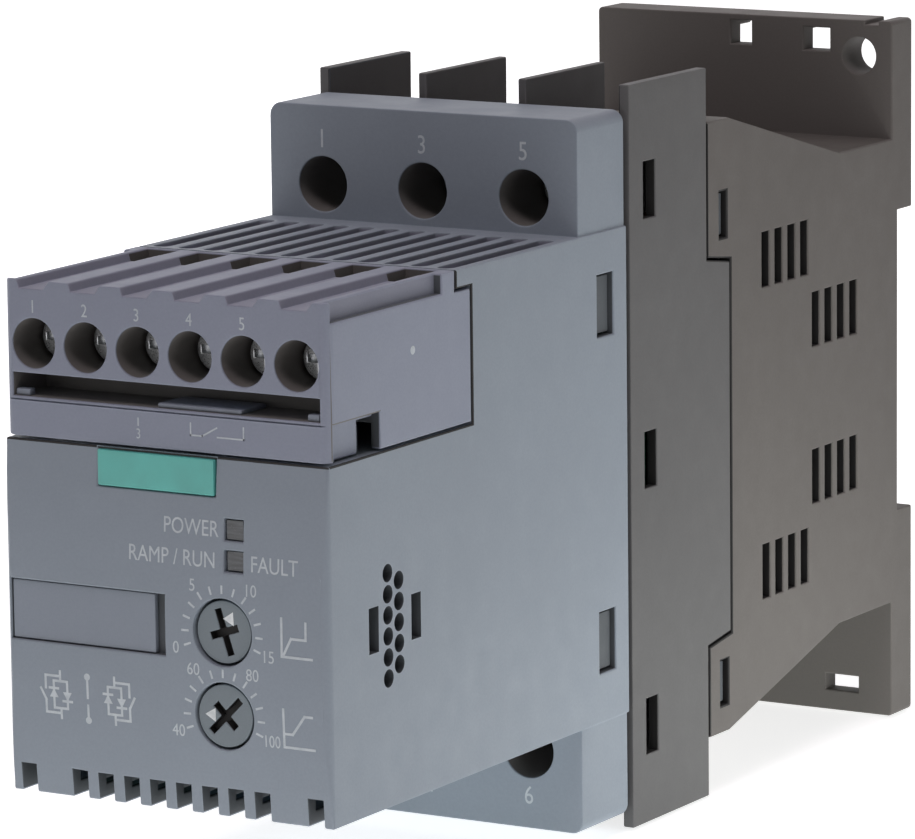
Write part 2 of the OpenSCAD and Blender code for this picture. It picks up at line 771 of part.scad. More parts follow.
// Snap tongues that hold the front housing and the rear base
module frame_tongues() {
  for (z = [snap_high, 2 * z_mid - snap_high]) both_sides() {
    span([tongue_x0, tongue_x1], [snap_y - 0.6, y_frame + 2.5], [z - tongue_w / 2, z + tongue_w / 2]);
    span([tongue_x0, in_x + wall * 0.6], [snap_y + 0.2, snap_y + snap_d - 0.2],
      [z - tongue_w / 2, z + tongue_w / 2]);
    span([tongue_x0, half_w - frame_wall / 2], [y_frame, y_frame + 2.5],
      [z - tongue_w / 2, z + tongue_w / 2]);
  }
  for (z = rear_win_z) both_sides() {
    span([tongue_x0, tongue_x1], [y_base - 2.5, rear_win_y + rear_win_d + 0.4],
      [z - rear_win_h / 2 + 0.3, z + rear_win_h / 2 - 0.3]);
    span([tongue_x0, in_x + wall * 0.6], [rear_win_y + 0.2, rear_win_y + rear_win_d - 0.2],
      [z - rear_win_h / 2 + 0.3, z + rear_win_h / 2 - 0.3]);
    span([tongue_x0, half_w - frame_wall / 2], [y_base - 2.5, y_base],
      [z - rear_win_h / 2 + 0.3, z + rear_win_h / 2 - 0.3]);
  }
}

// Rear base with its mounting ears
module rear_base() {
  color([0.36, 0.34, 0.33]) place() difference() {
    union() {
      difference() {
        along_x([-half_w, half_w]) polygon([
          [base_y0, base_lo], [slope_y0, base_lo], [slope_y1, rear_lo], [y_ear + eps, rear_lo],
          [y_ear + eps, rear_hi], [slope_y1, rear_hi], [slope_y0, base_hi], [base_y0, base_hi]]);
        along_x([-in_x, in_x]) polygon([
          [base_y0 - eps, base_lo + wall], [slope_y0, base_lo + wall], [slope_y1, rear_lo + wall],
          [y_ear, rear_lo + wall], [y_ear, rear_hi - wall], [slope_y1, rear_hi - wall],
          [slope_y0, base_hi - wall], [base_y0 - eps, base_hi - wall]]);
        along_x([-far, far]) polygon([
          [base_y0 - eps, tab_z0 - tab_slope - seam], [y_tab + seam, tab_z0 - seam],
          [y_tab + seam, tab_z1 + seam], [base_y0 - eps, tab_z1 + tab_slope + seam]]);
        for (z = rear_win_z)
          span([-far, far], [rear_win_y, rear_win_y + rear_win_d], [z - rear_win_h / 2, z + rear_win_h / 2]);
        base_vents();
      }
      both_sides() for (z = [-sink_screw_z, sink_screw_z])
        span([sink_screw_x - lug_w / 2, in_x + wall / 2], [sink_y + sink_t, sink_y + sink_t + lug_d],
          [base_mid + z - lug_w / 2, base_mid + z + lug_w / 2]);
      ear_plates();
      latch_guides();
    }
    ear_holes();
    sink_corners() rod_y(0, 0, [sink_y, sink_y + sink_t + lug_d - 1], sink_screw_d + 2 * bore_gap);
  }
}

// Slots in the base's side walls
module base_vents() {
  for (g = base_vent_groups, k = [0:3])
    translate([0, slope_y0 + g[0] + k * base_vent_pitch, base_mid + g[1]])
      span([-far, far], [0, base_vent_w], [-base_vent_h / 2, base_vent_h / 2]);
}

// Back wall, both ears, their rims and bosses, and the fixed rail claws
module ear_plates() {
  along_y([y_ear, rail_y]) round_rect([-half_w, half_w], [0, unit_h], ear_r);
  for (z = [[0, rail_lo], [rail_hi, unit_h]]) intersection() {
    span([-far, far], [y_ear, y_back], z);
    union() {
      along_y([y_ear, y_ear + ear_t]) round_rect([-half_w, half_w], [0, unit_h], ear_r);
      along_y([y_ear, y_back]) difference() {
        round_rect([-half_w, half_w], [0, unit_h], ear_r);
        translate([-in_x, z[0] + wall]) square([2 * in_x, z[1] - z[0] - 2 * wall]);
      }
      for (s = [-1, 1])
        rod_y(s * mount_span / 2, base_mid + s * (base_mid - mount_edge), [y_ear, y_back], mount_hole_d + 4);
    }
  }
  both_sides() span([8, 14], [claw_y, y_back - 0.4], [rail_edge - 2, rail_hi + wall]);
}

// Guides and spring post for the rail latch
module latch_guides() {
  both_sides() {
    span([latch_w / 2 + slide_gap, latch_w / 2 + slide_gap + guide_w], [y_ear + ear_t - eps, y_back],
      [wall - eps, rail_lo - wall + eps]);
    span([latch_w / 2 - 1, latch_w / 2 + slide_gap + guide_w], [latch_y + latch_t + slide_gap, y_back],
      [3, rail_lo - 3.5]);
  }
  span([-latch_win_w / 2 + slide_gap, latch_win_w / 2 - slide_gap], [y_ear + ear_t - eps, latch_y + latch_t],
    [post_z1 - 2.5, post_z1]);
}

// Holes in the ears and the way of the rail latch
module ear_holes() {
  for (s = [-1, 1])
    rod_y(s * mount_span / 2, base_mid + s * (base_mid - mount_edge), [y_ear - eps, y_back + eps],
      mount_hole_d);
  // keying holes of the upper ear, slot of the lower ear
  for (c = ear_cuts)
    span(c[0], [y_ear - eps, y_back + eps], [unit_h - c[1] - c[2], unit_h - c[1]]);
  span(foot_cut, [y_ear - eps, y_ear + ear_t + eps], [foot_cut_z, mount_edge + 0.2]);
  span(ear_dent, [y_ear - eps, y_back + eps], [unit_h - ear_dent_deep, unit_h + eps]);
  // way of the latch through the lower ear's rim
  for (z = [[-eps, wall + eps], [rail_lo - wall - eps, rail_lo + eps]])
    span([-latch_w / 2 - slide_gap, latch_w / 2 + slide_gap], [y_ear + ear_t, y_back + eps], z);
  // spring pocket above the post
  span([-latch_win_w / 2 + slide_gap, latch_win_w / 2 - slide_gap], [spring_y - 1.9, y_ear + ear_t + eps],
    [post_z1, latch_win_z1 + 0.2]);
}

// Sprung latch that grips the lower edge of the rail
module rail_latch() {
  color([0.2, 0.2, 0.2]) place() difference() {
    union() {
      span([-latch_w / 2, latch_w / 2], [latch_y, latch_y + latch_t], [latch_z0, latch_z1]);
      along_x([-latch_w / 2, latch_w / 2]) polygon([
        [latch_y + 0.6, latch_z1 - eps], [latch_y + latch_t, latch_z1 - eps],
        [latch_y + latch_t, latch_z1 + latch_lip * 0.4], [latch_y + 0.6, latch_z1 + latch_lip]]);
    }
    span([-latch_win_w / 2, latch_win_w / 2], [latch_y - eps, latch_y + latch_t + eps],
      [latch_win_z0, latch_win_z1]);
    span([-3, 3], [latch_y - eps, latch_y + latch_t + eps], [latch_z0 + 1.6, latch_z0 + 2.9]);
  }
}

// Corner points of the spring's wire, ring by ring
spring_sides = 8;
spring_steps = 16 * spring_turns;
spring_z0 = post_z1 + spring_wire / 2 + 0.05;
spring_len = latch_win_z1 - post_z1 - spring_wire - 0.1;
spring_points = [for (k = [0:spring_steps], j = [0:spring_sides - 1])
  let (a = 360 * spring_turns * k / spring_steps, b = 360 * j / spring_sides,
    r = spring_r + spring_wire / 2 * cos(b))
  [r * cos(a), spring_y + r * sin(a), spring_z0 + spring_len * k / spring_steps + spring_wire / 2 * sin(b)]];
spring_faces = concat(
  [[for (j = [0:spring_sides - 1]) j]],
  [for (k = [0:spring_steps - 1], j = [0:spring_sides - 1])
    let (n = (j + 1) % spring_sides, p = k * spring_sides, q = p + spring_sides)
    [p + j, q + j, q + n, p + n]],
  [[for (j = [spring_sides - 1:-1:0]) spring_steps * spring_sides + j]]);

// Coil spring under the rail latch
module latch_spring() {
  color([0.7, 0.71, 0.72]) place() polyhedron(spring_points, spring_faces);
}

// Finned heat sink
module heat_sink() {
  color([0.76, 0.77, 0.79]) place() difference() {
    union() {
      span([-in_x + sink_rim, in_x - sink_rim], [sink_y, sink_y + sink_t],
        [base_mid - sink_h / 2, base_mid + sink_h / 2]);
      for (k = [-3:3])
        span([k * fin_pitch - fin_t / 2, k * fin_pitch + fin_t / 2], [sink_y + sink_t - eps, fin_y1],
          [rear_lo + wall + fin_gap, rear_hi - wall - fin_gap]);
    }
    sink_corners() rod_y(0, 0, [sink_y - eps, sink_y + sink_t + eps], sink_screw_d + screw_play);
  }
}

// Thyristor module with its pins to the power board
module thyristor(s) {
  color([0.13, 0.13, 0.14]) place() {
    span([s > 0 ? module_x : -module_x - module_w, s > 0 ? module_x + module_w : -module_x],
      [sink_y - module_d, sink_y], [z_mid - module_h / 2, z_mid + module_h / 2]);
    for (k = [-1:1])
      rod_y(s * (module_x + module_w / 2), z_mid + k * pin_pitch,
        [power_board_y + board_t, sink_y - module_d + eps], pin_d);
  }
}

module thyristor_left() {
  thyristor(-1);
}

module thyristor_right() {
  thyristor(1);
}

// Board that carries the power connections
module power_board() {
  color([0.12, 0.36, 0.22]) place() difference() {
    span([-power_board_w / 2, power_board_w / 2], [power_board_y, power_board_y + board_t],
      [power_board_z0, power_board_z1]);
    power_corners()
      rod_y(0, 0, [power_board_y - eps, power_board_y + board_t + eps], power_screw_d + screw_play);
  }
}

// Bypass relay on the power board
module bypass_relay(x) {
  color([0.14, 0.15, 0.17]) place()
    span([x, x + relay_w], [power_board_y - relay_d, power_board_y],
      [z_mid - relay_h / 2, z_mid + relay_h / 2]);
}

module bypass_relay_left() {
  bypass_relay(relay_left_x);
}

module bypass_relay_right() {
  bypass_relay(relay_right_x);
}

// Upright board between the control board and the power board
module main_board() {
  color([0.13, 0.38, 0.24]) place()
    span([riser_x, riser_x + board_t], [board_y + board_t, power_board_y], [riser_z0, riser_z1]);
}

// Board behind the front panel with its two status lamps
module control_board() {
  color([0.12, 0.36, 0.22]) place() difference() {
    union() {
      span([-in_x + board_rim, in_x - board_rim], [board_y, board_y + board_t],
        [board_mid - board_half, board_mid + board_half]);
      for (z = led_z) span([led_x - 0.8, led_x + 0.8], [board_y - 0.8, board_y + eps],
        [z + led_h / 2 - 0.8, z + led_h / 2 + 0.8]);
    }
    board_corners() rod_y(0, 0, [board_y - eps, board_y + board_t + eps], board_screw_d + screw_play);
  }
}

// Trimmer that a knob turns
module trimmer(z) {
  color([0.18, 0.3, 0.55]) place() difference() {
    span([knob_x - trimmer_w / 2, knob_x + trimmer_w / 2], [trimmer_y, board_y],
      [z - trimmer_w / 2, z + trimmer_w / 2]);
    rod_y(knob_x, z, [trimmer_y - eps, board_y - 0.6], knob_stem_d + 2 * bore_gap);
  }
}

module ramp_trimmer() {
  trimmer(knob_z[0]);
}

module voltage_trimmer() {
  trimmer(knob_z[1]);
}

// Setting knob: flush face with a long and a short slot that cross
module setting_knob(z, turn) {
  color([0.38, 0.41, 0.44]) place() translate([knob_x, 0, z]) difference() {
    union() {
      rod_y(0, 0, [knob_sink, knob_flange_y + eps], knob_d);
      rod_y(0, 0, [knob_flange_y, knob_flange_y + knob_flange_t], knob_flange_d);
      rod_y(0, 0, [knob_flange_y + knob_flange_t - eps, board_y - 0.9], knob_stem_d);
    }
    for (arm = knob_arms) rotate([0, turn + arm[0], 0])
      span([-knob_slot_w / 2, knob_slot_w / 2], [knob_sink - eps, knob_sink + knob_slot_deep],
        [-knob_d * arm[1] / 2, knob_d * arm[1] / 2]);
  }
}

module ramp_knob() {
  setting_knob(knob_z[0], ramp_set);
}

module voltage_knob() {
  setting_knob(knob_z[1], voltage_set);
}

// Light guide from a status lamp to its window
module light_guide(z) {
  color([0.12, 0.13, 0.12]) place() {
    span([led_x - led_w / 2 + 0.1, led_x + led_w / 2 - 0.1], [0.7, board_y - 0.8], [z, z + led_h]);
    span([led_x - led_w / 2 - 0.6, led_x + led_w / 2 + 0.6], [y_panel, y_panel + 1],
      [z - 0.3, z + led_h + 0.3]);
  }
}

module upper_light_guide() {
  light_guide(led_z[0]);
}

module lower_light_guide() {
  light_guide(led_z[1]);
}

// Blank label plate
module label_plate() {
  color([0.47, 0.49, 0.54]) place()
    span([label_x, label_x + label_w], [label_floor - label_t, label_floor],
      [z_floor + label_low, z_floor + label_low + label_h]);
}

// Blank coloured name plate
module name_plate() {
  color([0.33, 0.64, 0.6]) place()
    span([badge_x, badge_x + badge_w], [badge_floor - badge_t, badge_floor], [badge_z, badge_z + badge_h]);
}

// Round head screw along Y, its head in front of y
module pan_screw(y, head_d, head_t, d, len) {
  rod_y(0, 0, [y - head_t, y], head_d);
  rod_y(0, 0, [y - eps, y + len], d);
}

// Four screws that hold the heat sink
module heat_sink_screws() {
  color([0.7, 0.71, 0.73]) place()
    sink_corners() pan_screw(sink_y, sink_pan_d, sink_pan_t, sink_screw_d, sink_t + lug_d - 1.5);
}

// Screws of the control board, from behind, and of the power board, from the front
module board_screws() {
  color([0.7, 0.71, 0.73]) place() {
    board_corners() {
      rod_y(0, 0, [board_y + board_t, board_y + board_t + board_head_t], board_head_d);
      rod_y(0, 0, [board_y - board_post_deep + 0.5, board_y + board_t + eps], board_screw_d);
    }
    power_corners()
      pan_screw(power_board_y, power_pan_d, power_pan_t, power_screw_d, board_t + power_post_deep);
  }
}

front_housing();
control_block();
control_contacts();
control_header();
control_screw(0);  // control_screw_1
control_screw(1);  // control_screw_2
control_screw(2);  // control_screw_3
control_screw(3);  // control_screw_4
control_screw(4);  // control_screw_5
control_screw(5);  // control_screw_6
control_cage(0);  // control_cage_1
control_cage(1);  // control_cage_2
control_cage(2);  // control_cage_3
control_cage(3);  // control_cage_4
control_cage(4);  // control_cage_5
control_cage(5);  // control_cage_6
middle_frame();
rear_base();
line_busbar(0);  // line_busbar_1
line_busbar(1);  // line_busbar_2
line_busbar(2);  // line_busbar_3
load_busbar(0);  // load_busbar_1
load_busbar(1);  // load_busbar_2
load_busbar(2);  // load_busbar_3
line_screw(0);  // line_screw_1
line_screw(1);  // line_screw_2
line_screw(2);  // line_screw_3
load_screw(0);  // load_screw_1
load_screw(1);  // load_screw_2
load_screw(2);  // load_screw_3
line_cage(0);  // line_cage_1
line_cage(1);  // line_cage_2
line_cage(2);  // line_cage_3
load_cage(0);  // load_cage_1
load_cage(1);  // load_cage_2
load_cage(2);  // load_cage_3
heat_sink();
thyristor_left();
thyristor_right();
power_board();
bypass_relay_left();
bypass_relay_right();
main_board();
control_board();
ramp_trimmer();
voltage_trimmer();
ramp_knob();
voltage_knob();
upper_light_guide();
lower_light_guide();
label_plate();
name_plate();
rail_latch();
latch_spring();
heat_sink_screws();
board_screws();
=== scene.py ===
"""Looks of a narrow motor soft starter: finishes, eased mouldings, print, fittings and a plain studio.

Sizes in the classes are millimetres. Depth runs back from the crown of the front panel, height up from
the plane that the unit stands on, and across runs to the right as seen from the front. Only the studio's
lamps, floor and camera are in metres of the shared frame.
"""
from __future__ import annotations

import json
import logging
import math
from collections.abc import Callable, Iterable
from dataclasses import dataclass, field
from enum import Enum

import bmesh
import bpy
from mathutils import Matrix, Vector
from mathutils.geometry import delaunay_2d_cdt

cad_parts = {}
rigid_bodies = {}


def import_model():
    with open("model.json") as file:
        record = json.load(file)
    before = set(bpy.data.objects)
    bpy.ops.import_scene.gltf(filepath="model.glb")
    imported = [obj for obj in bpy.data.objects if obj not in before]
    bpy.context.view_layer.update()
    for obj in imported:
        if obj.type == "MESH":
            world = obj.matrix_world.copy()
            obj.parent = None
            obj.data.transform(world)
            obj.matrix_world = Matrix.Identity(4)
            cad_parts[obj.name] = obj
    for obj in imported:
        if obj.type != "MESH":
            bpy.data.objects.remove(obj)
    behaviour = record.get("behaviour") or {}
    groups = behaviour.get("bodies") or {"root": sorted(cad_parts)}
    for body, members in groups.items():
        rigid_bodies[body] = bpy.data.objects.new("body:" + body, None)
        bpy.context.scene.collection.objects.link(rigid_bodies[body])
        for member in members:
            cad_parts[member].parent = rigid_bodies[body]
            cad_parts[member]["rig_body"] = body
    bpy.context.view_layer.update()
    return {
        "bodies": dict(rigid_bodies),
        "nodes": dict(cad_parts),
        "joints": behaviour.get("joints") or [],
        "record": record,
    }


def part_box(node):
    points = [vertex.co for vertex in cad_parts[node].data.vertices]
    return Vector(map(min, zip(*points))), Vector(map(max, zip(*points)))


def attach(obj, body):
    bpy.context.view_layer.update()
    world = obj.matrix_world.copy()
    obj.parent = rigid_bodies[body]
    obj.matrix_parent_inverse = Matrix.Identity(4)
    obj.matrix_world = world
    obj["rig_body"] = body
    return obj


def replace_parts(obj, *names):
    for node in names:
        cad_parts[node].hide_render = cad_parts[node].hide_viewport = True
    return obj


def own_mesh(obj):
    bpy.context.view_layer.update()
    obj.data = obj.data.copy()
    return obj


log = logging.getLogger("soft_starter")

Pair = tuple[float, float]
Point = tuple[float, float, float]
Quad = tuple[float, float, float, float]
Colour = Quad
Socket = bpy.types.NodeSocket
BMesh = bmesh.types.BMesh

MM = 0.001
HALF_DEPTH = 75.5
FAR = math.inf
ANYWHERE: Pair = (-FAR, FAR)
# Share of a normal along an axis: past SQUARE a face lies square to the axis, under STEEP it is a wall.
SQUARE = 0.97
STEEP = 0.5
KNOB_ACROSS = 8.1
KNOB_HEIGHTS: Pair = (37.4, 27.4)
TRIANGLE = 3
WHITE: Colour = (1.0, 1.0, 1.0, 1.0)
WARM_LIGHT: Point = (1.0, 0.9, 0.95)
COOL_LIGHT: Point = (0.97, 1.02, 1.0)


def at(across: float, depth: float, height: float) -> Vector:
    """Place on the unit, in millimetres, as a point of the shared frame."""
    return Vector((across, depth - HALF_DEPTH, height)) * MM


def place_of(point: Vector) -> Vector:
    """Point of the shared frame as a place on the unit, in millimetres."""
    return point / MM + Vector((0, HALF_DEPTH, 0))


def tone(red: int, green: int, blue: int) -> Colour:
    """Screen colour of 0 to 255 as the linear colour that shaders take."""
    linear = [(c / 255 + 0.055) ** 2.4 / 1.055**2.4 if c > 10 else c / 3295 for c in (red, green, blue)]
    return (linear[0], linear[1], linear[2], 1.0)


def shade(colour: Colour, share: float) -> Colour:
    """The same colour, lighter or darker by a factor."""
    return (colour[0] * share, colour[1] * share, colour[2] * share, 1.0)


def put(name: str, data: bpy.types.ID) -> bpy.types.Object:
    """Puts a mesh, text, lamp or camera into the scene.

    Args:
        name: Name of the object.
        data: What it shows.

    Returns:
        The new object.
    """
    thing = bpy.data.objects.new(name, data)
    bpy.context.scene.collection.objects.link(thing)
    return thing


def ease_edges(bm: BMesh, edges: list[bmesh.types.BMEdge], width: float, slide: bool = False) -> None:
    """Rounds edges off.

    Args:
        bm: Mesh that has the edges.
        edges: Edges to round.
        width: Width of the rounding in millimetres.
        slide: Whether its corners may slide along the edges that stay sharp.
    """
    bmesh.ops.bevel(bm, geom=edges, offset=width * MM, offset_type="OFFSET", segments=2, profile=0.5,
                    affect="EDGES", material=-1, clamp_overlap=False, loop_slide=slide)


@dataclass(frozen=True)
class Zone:
    """Part of the unit, as open ranges across, in depth and in height."""

    across: Pair = ANYWHERE
    depth: Pair = ANYWHERE
    height: Pair = ANYWHERE
    both_sides: bool = True

    def holds(self, place: Vector) -> bool:
        """Whether a place is in this part.

        Args:
            place: Place on the unit, in millimetres.

        Returns:
            True inside all three ranges, for the left side too where both sides are alike.
        """
        across = abs(place.x) if self.both_sides else place.x
        measures = zip((self.across, self.depth, self.height), (across, place.y, place.z))
        return all(low < value < high for (low, high), value in measures)


class Tree:
    """Nodes of a material or of the sky, wired by short calls."""

    def __init__(self, owner: bpy.types.Material | bpy.types.World) -> None:
        """Switches the owner's nodes on.

        Args:
            owner: Material or world that the nodes belong to.
        """
        owner.use_nodes = True
        self.tree = owner.node_tree

    def feed(self, node: bpy.types.Node, key: str | int, value: object) -> None:
        """Links a socket into a node's input, or sets the input to a plain value.

        Args:
            node: Node to feed.
            key: Name or number of its input.
            value: Socket or plain value.
        """
        if isinstance(value, Socket):
            self.tree.links.new(value, node.inputs[key])
        else:
            node.inputs[key].default_value = value

    def add(self, kind: str, inputs: dict[str | int, object]) -> bpy.types.Node:
        """Adds a node.

        Args:
            kind: Blender's name of the node type.
            inputs: Values or sockets for its inputs.

        Returns:
            The new node.
        """
        node = self.tree.nodes.new(kind)
        for key, value in inputs.items():
            self.feed(node, key, value)
        return node

    def combine(self, operation: str, first: object, second: object) -> Socket:
        """Makes one value of two.

        Args:
            operation: Blender's name of what is done with them.
            first: First value or socket.
            second: Second value or socket.

        Returns:
            The new value.
        """
        node = self.add("ShaderNodeMath", {0: first, 1: second})
        node.operation = operation
        return node.outputs[0]

    def seen(self) -> Socket:
        """Tells the rays that look from those that light.

        Returns:
            Share of 1 for rays from the camera, a gloss or a clear piece.
        """
        rays = self.add("ShaderNodeLightPath", {}).outputs
        direct = self.combine("MAXIMUM", rays["Is Camera Ray"], rays["Is Glossy Ray"])
        return self.combine("MAXIMUM", direct, rays["Is Transmission Ray"])


class Graph(Tree):
    """Nodes of one material."""

    edge_rays: int = 6
    edge_range: Pair = (0.995, 0.86)

    def __init__(self, name: str) -> None:
        """Starts a material with its main shader and the piece's own coordinates.

        Args:
            name: Name of the material.
        """
        self.material = bpy.data.materials.new(name)
        super().__init__(self.material)
        self.shader = self.tree.nodes["Principled BSDF"]
        self.place = self.add("ShaderNodeTexCoord", {}).outputs["Object"]

    def cloud(self, size: float, detail: float, stretch: Point = (1.0, 1.0, 1.0)) -> Socket:
        """Cloudy pattern.

        Args:
            size: Size of a lump in millimetres.
            detail: How many finer layers it has.
            stretch: Crowding of the lumps along each axis.

        Returns:
            The pattern's value.
        """
        crowd = tuple(s / (size * MM) for s in stretch)
        turned = self.add("ShaderNodeMapping", {"Vector": self.place, "Scale": crowd}).outputs[0]
        noise = self.add("ShaderNodeTexNoise", {"Vector": turned, "Scale": 1.0, "Detail": detail})
        return noise.outputs["Fac"]

    def cells(self, size: float) -> Socket:
        """Distance to the nearest of many scattered points, about the given millimetres apart."""
        node = self.add("ShaderNodeTexVoronoi", {"Vector": self.place, "Scale": 1 / (size * MM)})
        return node.outputs["Distance"]

    def spread(self, value: Socket, low: float, high: float, start: float = 0.0,
               end: float = 1.0) -> Socket:
        """Maps a value's range to another one.

        Args:
            value: Socket to map.
            low: Value that gives start.
            high: Value that gives end.
            start: Result at low.
            end: Result at high.

        Returns:
            The mapped value.
        """
        inputs = {"Value": value, "From Min": low, "From Max": high, "To Min": start, "To Max": end}
        return self.add("ShaderNodeMapRange", inputs).outputs["Result"]

    def mix(self, share: object, first: object, second: object) -> Socket:
        """Mixes two colours.

        Args:
            share: Share of the second colour.
            first: First colour or its socket.
            second: Second colour or its socket.

        Returns:
            The mixed colour.
        """
        node = self.tree.nodes.new("ShaderNodeMix")
        node.data_type = "RGBA"
        for key, value in ((0, share), (6, first), (7, second)):
            self.feed(node, key, value)
        return node.outputs[2]

    def blend(self, share: object, first: object, second: object) -> Socket:
        """Mixes two plain values by a share."""
        return self.add("ShaderNodeMix", {0: share, 2: first, 3: second}).outputs[0]

    def relief(self, height: Socket, depth: float, strength: float,
               below: Socket | None = None) -> Socket:
        """Raises the surface by a pattern.

        Args:
            height: Pattern of 0 to 1.
            depth: Depth in millimetres.
            strength: How much of the relief shows.
            below: Normal of a coarser relief, if there is one.

        Returns:
            The new normal.
        """
        inputs = {"Height": height, "Distance": depth * MM, "Strength": strength}
        node = self.add("ShaderNodeBump", inputs)
        if below is not None:
            self.feed(node, "Normal", below)
        return node.outputs[0]

    def rubbed_edges(self, reach: float) -> Socket:
        """Value that rises along convex and concave edges, used as wear and as a painted highlight.

        Args:
            reach: Width of the band in millimetres.

        Returns:
            Share of 0 to 1.
        """
        eased = self.add("ShaderNodeBevel", {"Radius": reach * MM})
        eased.samples = self.edge_rays
        flat = self.add("ShaderNodeNewGeometry", {})
        node = self.add("ShaderNodeVectorMath", {0: eased.outputs[0], 1: flat.outputs["Normal"]})
        node.operation = "DOT_PRODUCT"
        return self.spread(node.outputs["Value"], *self.edge_range)

    def finish(self, **links: object) -> bpy.types.Material:
        """Sets the main shader's inputs and gives the material.

        Args:
            **links: Shader inputs, with _ for a blank in the name.

        Returns:
            The finished material.
        """
        for key, value in links.items():
            self.feed(self.shader, key.replace("_", " "), value)
        return self.material


class Finish:
    """A finish that is made once and shared by all its pieces."""

    name: str
    made: dict[str, bpy.types.Material] = {}

    def material(self) -> bpy.types.Material:
        """Gives the finish's material, made at its first use.

        Returns:
            The shared material.
        """
        if self.name not in Finish.made:
            Finish.made[self.name] = self.make(Graph(self.name))
        return Finish.made[self.name]

    def make(self, graph: Graph) -> bpy.types.Material:
        """Wires the finish's nodes."""
        raise NotImplementedError


@dataclass(frozen=True)
class MouldedPlastic(Finish):
    """Spark-textured moulded plastic with faint flow marks, and edges paled partly by rubbing and partly
    by a painted highlight.
    """

    name: str
    colour: Colour
    roughness: float = 0.55
    gloss: float = 0.3
    grain: float = 0.32
    grain_depth: float = 0.02
    grain_strength: float = 0.35
    # Lightening of the edges, partly wear and partly painted highlight.
    edge_lift: float = 1.22
    edge_width: float = 0.35
    mottle: float = 0.03
    flow_size: float = 26.0
    flow_depth: float = 0.05
    streak_size: float = 3.2

    def make(self, graph: Graph) -> bpy.types.Material:
        """Wires flow marks, handling marks, edge rubbing with a painted highlight, and spark grain.

        Args:
            graph: Graph of the new material.

        Returns:
            The wired material.
        """
        flow = graph.cloud(self.flow_size, 3.0)
        streaks = graph.cloud(self.streak_size, 4.0)
        grain = graph.cloud(self.grain, 1.0)
        low, high = shade(self.colour, 1 - self.mottle), shade(self.colour, 1 + self.mottle)
        base = graph.mix(graph.spread(flow, 0.32, 0.68), low, high)
        base = graph.mix(graph.spread(streaks, 0.6, 0.78, 0.0, 0.3), base, shade(self.colour, 1.06))
        base = graph.mix(graph.spread(grain, 0.3, 0.7, 0.22, 0.0), base, shade(self.colour, 0.8))
        # Edges paled partly as wear and partly as a painted highlight, patchy along the streaks.
        edges, patches = graph.rubbed_edges(self.edge_width), graph.spread(streaks, 0.3, 0.6, 0.35, 1.0)
        wear_and_highlight = graph.combine("MULTIPLY", edges, patches)
        base = graph.mix(wear_and_highlight, base, shade(self.colour, self.edge_lift))
        gloss = graph.spread(streaks, 0.3, 0.75, self.roughness + 0.05, self.roughness - 0.07)
        coarse = graph.relief(flow, self.flow_depth, 0.08)
        fine = graph.relief(grain, self.grain_depth, self.grain_strength, coarse)
        return graph.finish(Base_Color=base, Roughness=gloss, Normal=fine, Specular_IOR_Level=self.gloss)


@dataclass(frozen=True)
class PlatedMetal(Finish):
    """Drawn or plated metal with fine lines along one axis and a cloudy bloom."""

    name: str
    colour: Colour
    roughness: float = 0.3
    lines: Point = (8.0, 0.4, 8.0)
    line_size: float = 0.8
    line_depth: float = 0.01
    bloom: float = 0.82
    bloom_size: float = 1.7
    pit_spacing: float = 0.5

    def make(self, graph: Graph) -> bpy.types.Material:
        """Wires the drawing lines, the bloom and the small pits.

        Args:
            graph: Graph of the new material.

        Returns:
            The wired material.
        """
        drawn = graph.cloud(self.line_size, 3.0, self.lines)
        bloom = graph.cloud(self.bloom_size, 4.0)
        pits = graph.cells(self.pit_spacing)
        base = graph.mix(graph.spread(bloom, 0.38, 0.66), shade(self.colour, self.bloom), self.colour)
        base = graph.mix(graph.spread(pits, 0.0, 0.16, 0.35, 0.0), base, shade(self.colour, 0.5))
        gloss = graph.spread(drawn, 0.3, 0.7, self.roughness - 0.08, self.roughness + 0.12)
        normal = graph.relief(drawn, self.line_depth, 0.3)
        return graph.finish(Base_Color=base, Metallic=1.0, Roughness=gloss, Normal=normal)


@dataclass(frozen=True)
class Ink(Finish):
    """Pad-printed ink that lies a little unevenly."""

    name: str
    colour: Colour
    worn: Colour
    patch_size: float = 0.9
    hole_size: float = 0.16
    hole_depth: float = 0.006

    def make(self, graph: Graph) -> bpy.types.Material:
        """Wires the ink's thin spots and its fine pinholes.

        Args:
            graph: Graph of the new material.

        Returns:
            The wired material.
        """
        thin = graph.cloud(self.patch_size, 3.0)
        holes = graph.cloud(self.hole_size, 1.0)
        base = graph.mix(graph.spread(thin, 0.3, 0.62, 0.55, 0.0), self.colour, self.worn)
        base = graph.mix(graph.spread(holes, 0.62, 0.76, 0.0, 0.5), base, self.worn)
        gloss = graph.spread(thin, 0.3, 0.7, 0.6, 0.45)
        normal = graph.relief(holes, self.hole_depth, 0.3)
        return graph.finish(Base_Color=base, Roughness=gloss, Normal=normal)


@dataclass(frozen=True)
class SmokedLens(Finish):
    """Dark clear plastic over a ribbed diffuser."""

    name: str
    colour: Colour
    deep: Colour
    rib_size: float = 0.5
    rib_depth: float = 0.01
    ribs: Point = (0.2, 0.2, 1.6)
    dust_size: float = 0.25

    def make(self, graph: Graph) -> bpy.types.Material:
        """Wires the diffuser's ribs under a glossy face.

        Args:
            graph: Graph of the new material.

        Returns:
            The wired material.
        """
        ribs = graph.cloud(self.rib_size, 1.0, self.ribs)
        dust = graph.cloud(self.dust_size, 2.0)
        base = graph.mix(graph.spread(ribs, 0.35, 0.65), self.deep, self.colour)
        gloss = graph.spread(dust, 0.35, 0.7, 0.12, 0.3)
        normal = graph.relief(ribs, self.rib_depth, 0.15)
        return graph.finish(Base_Color=base, Roughness=gloss, Normal=normal, Coat_Weight=0.4,
                            Coat_Roughness=0.08)


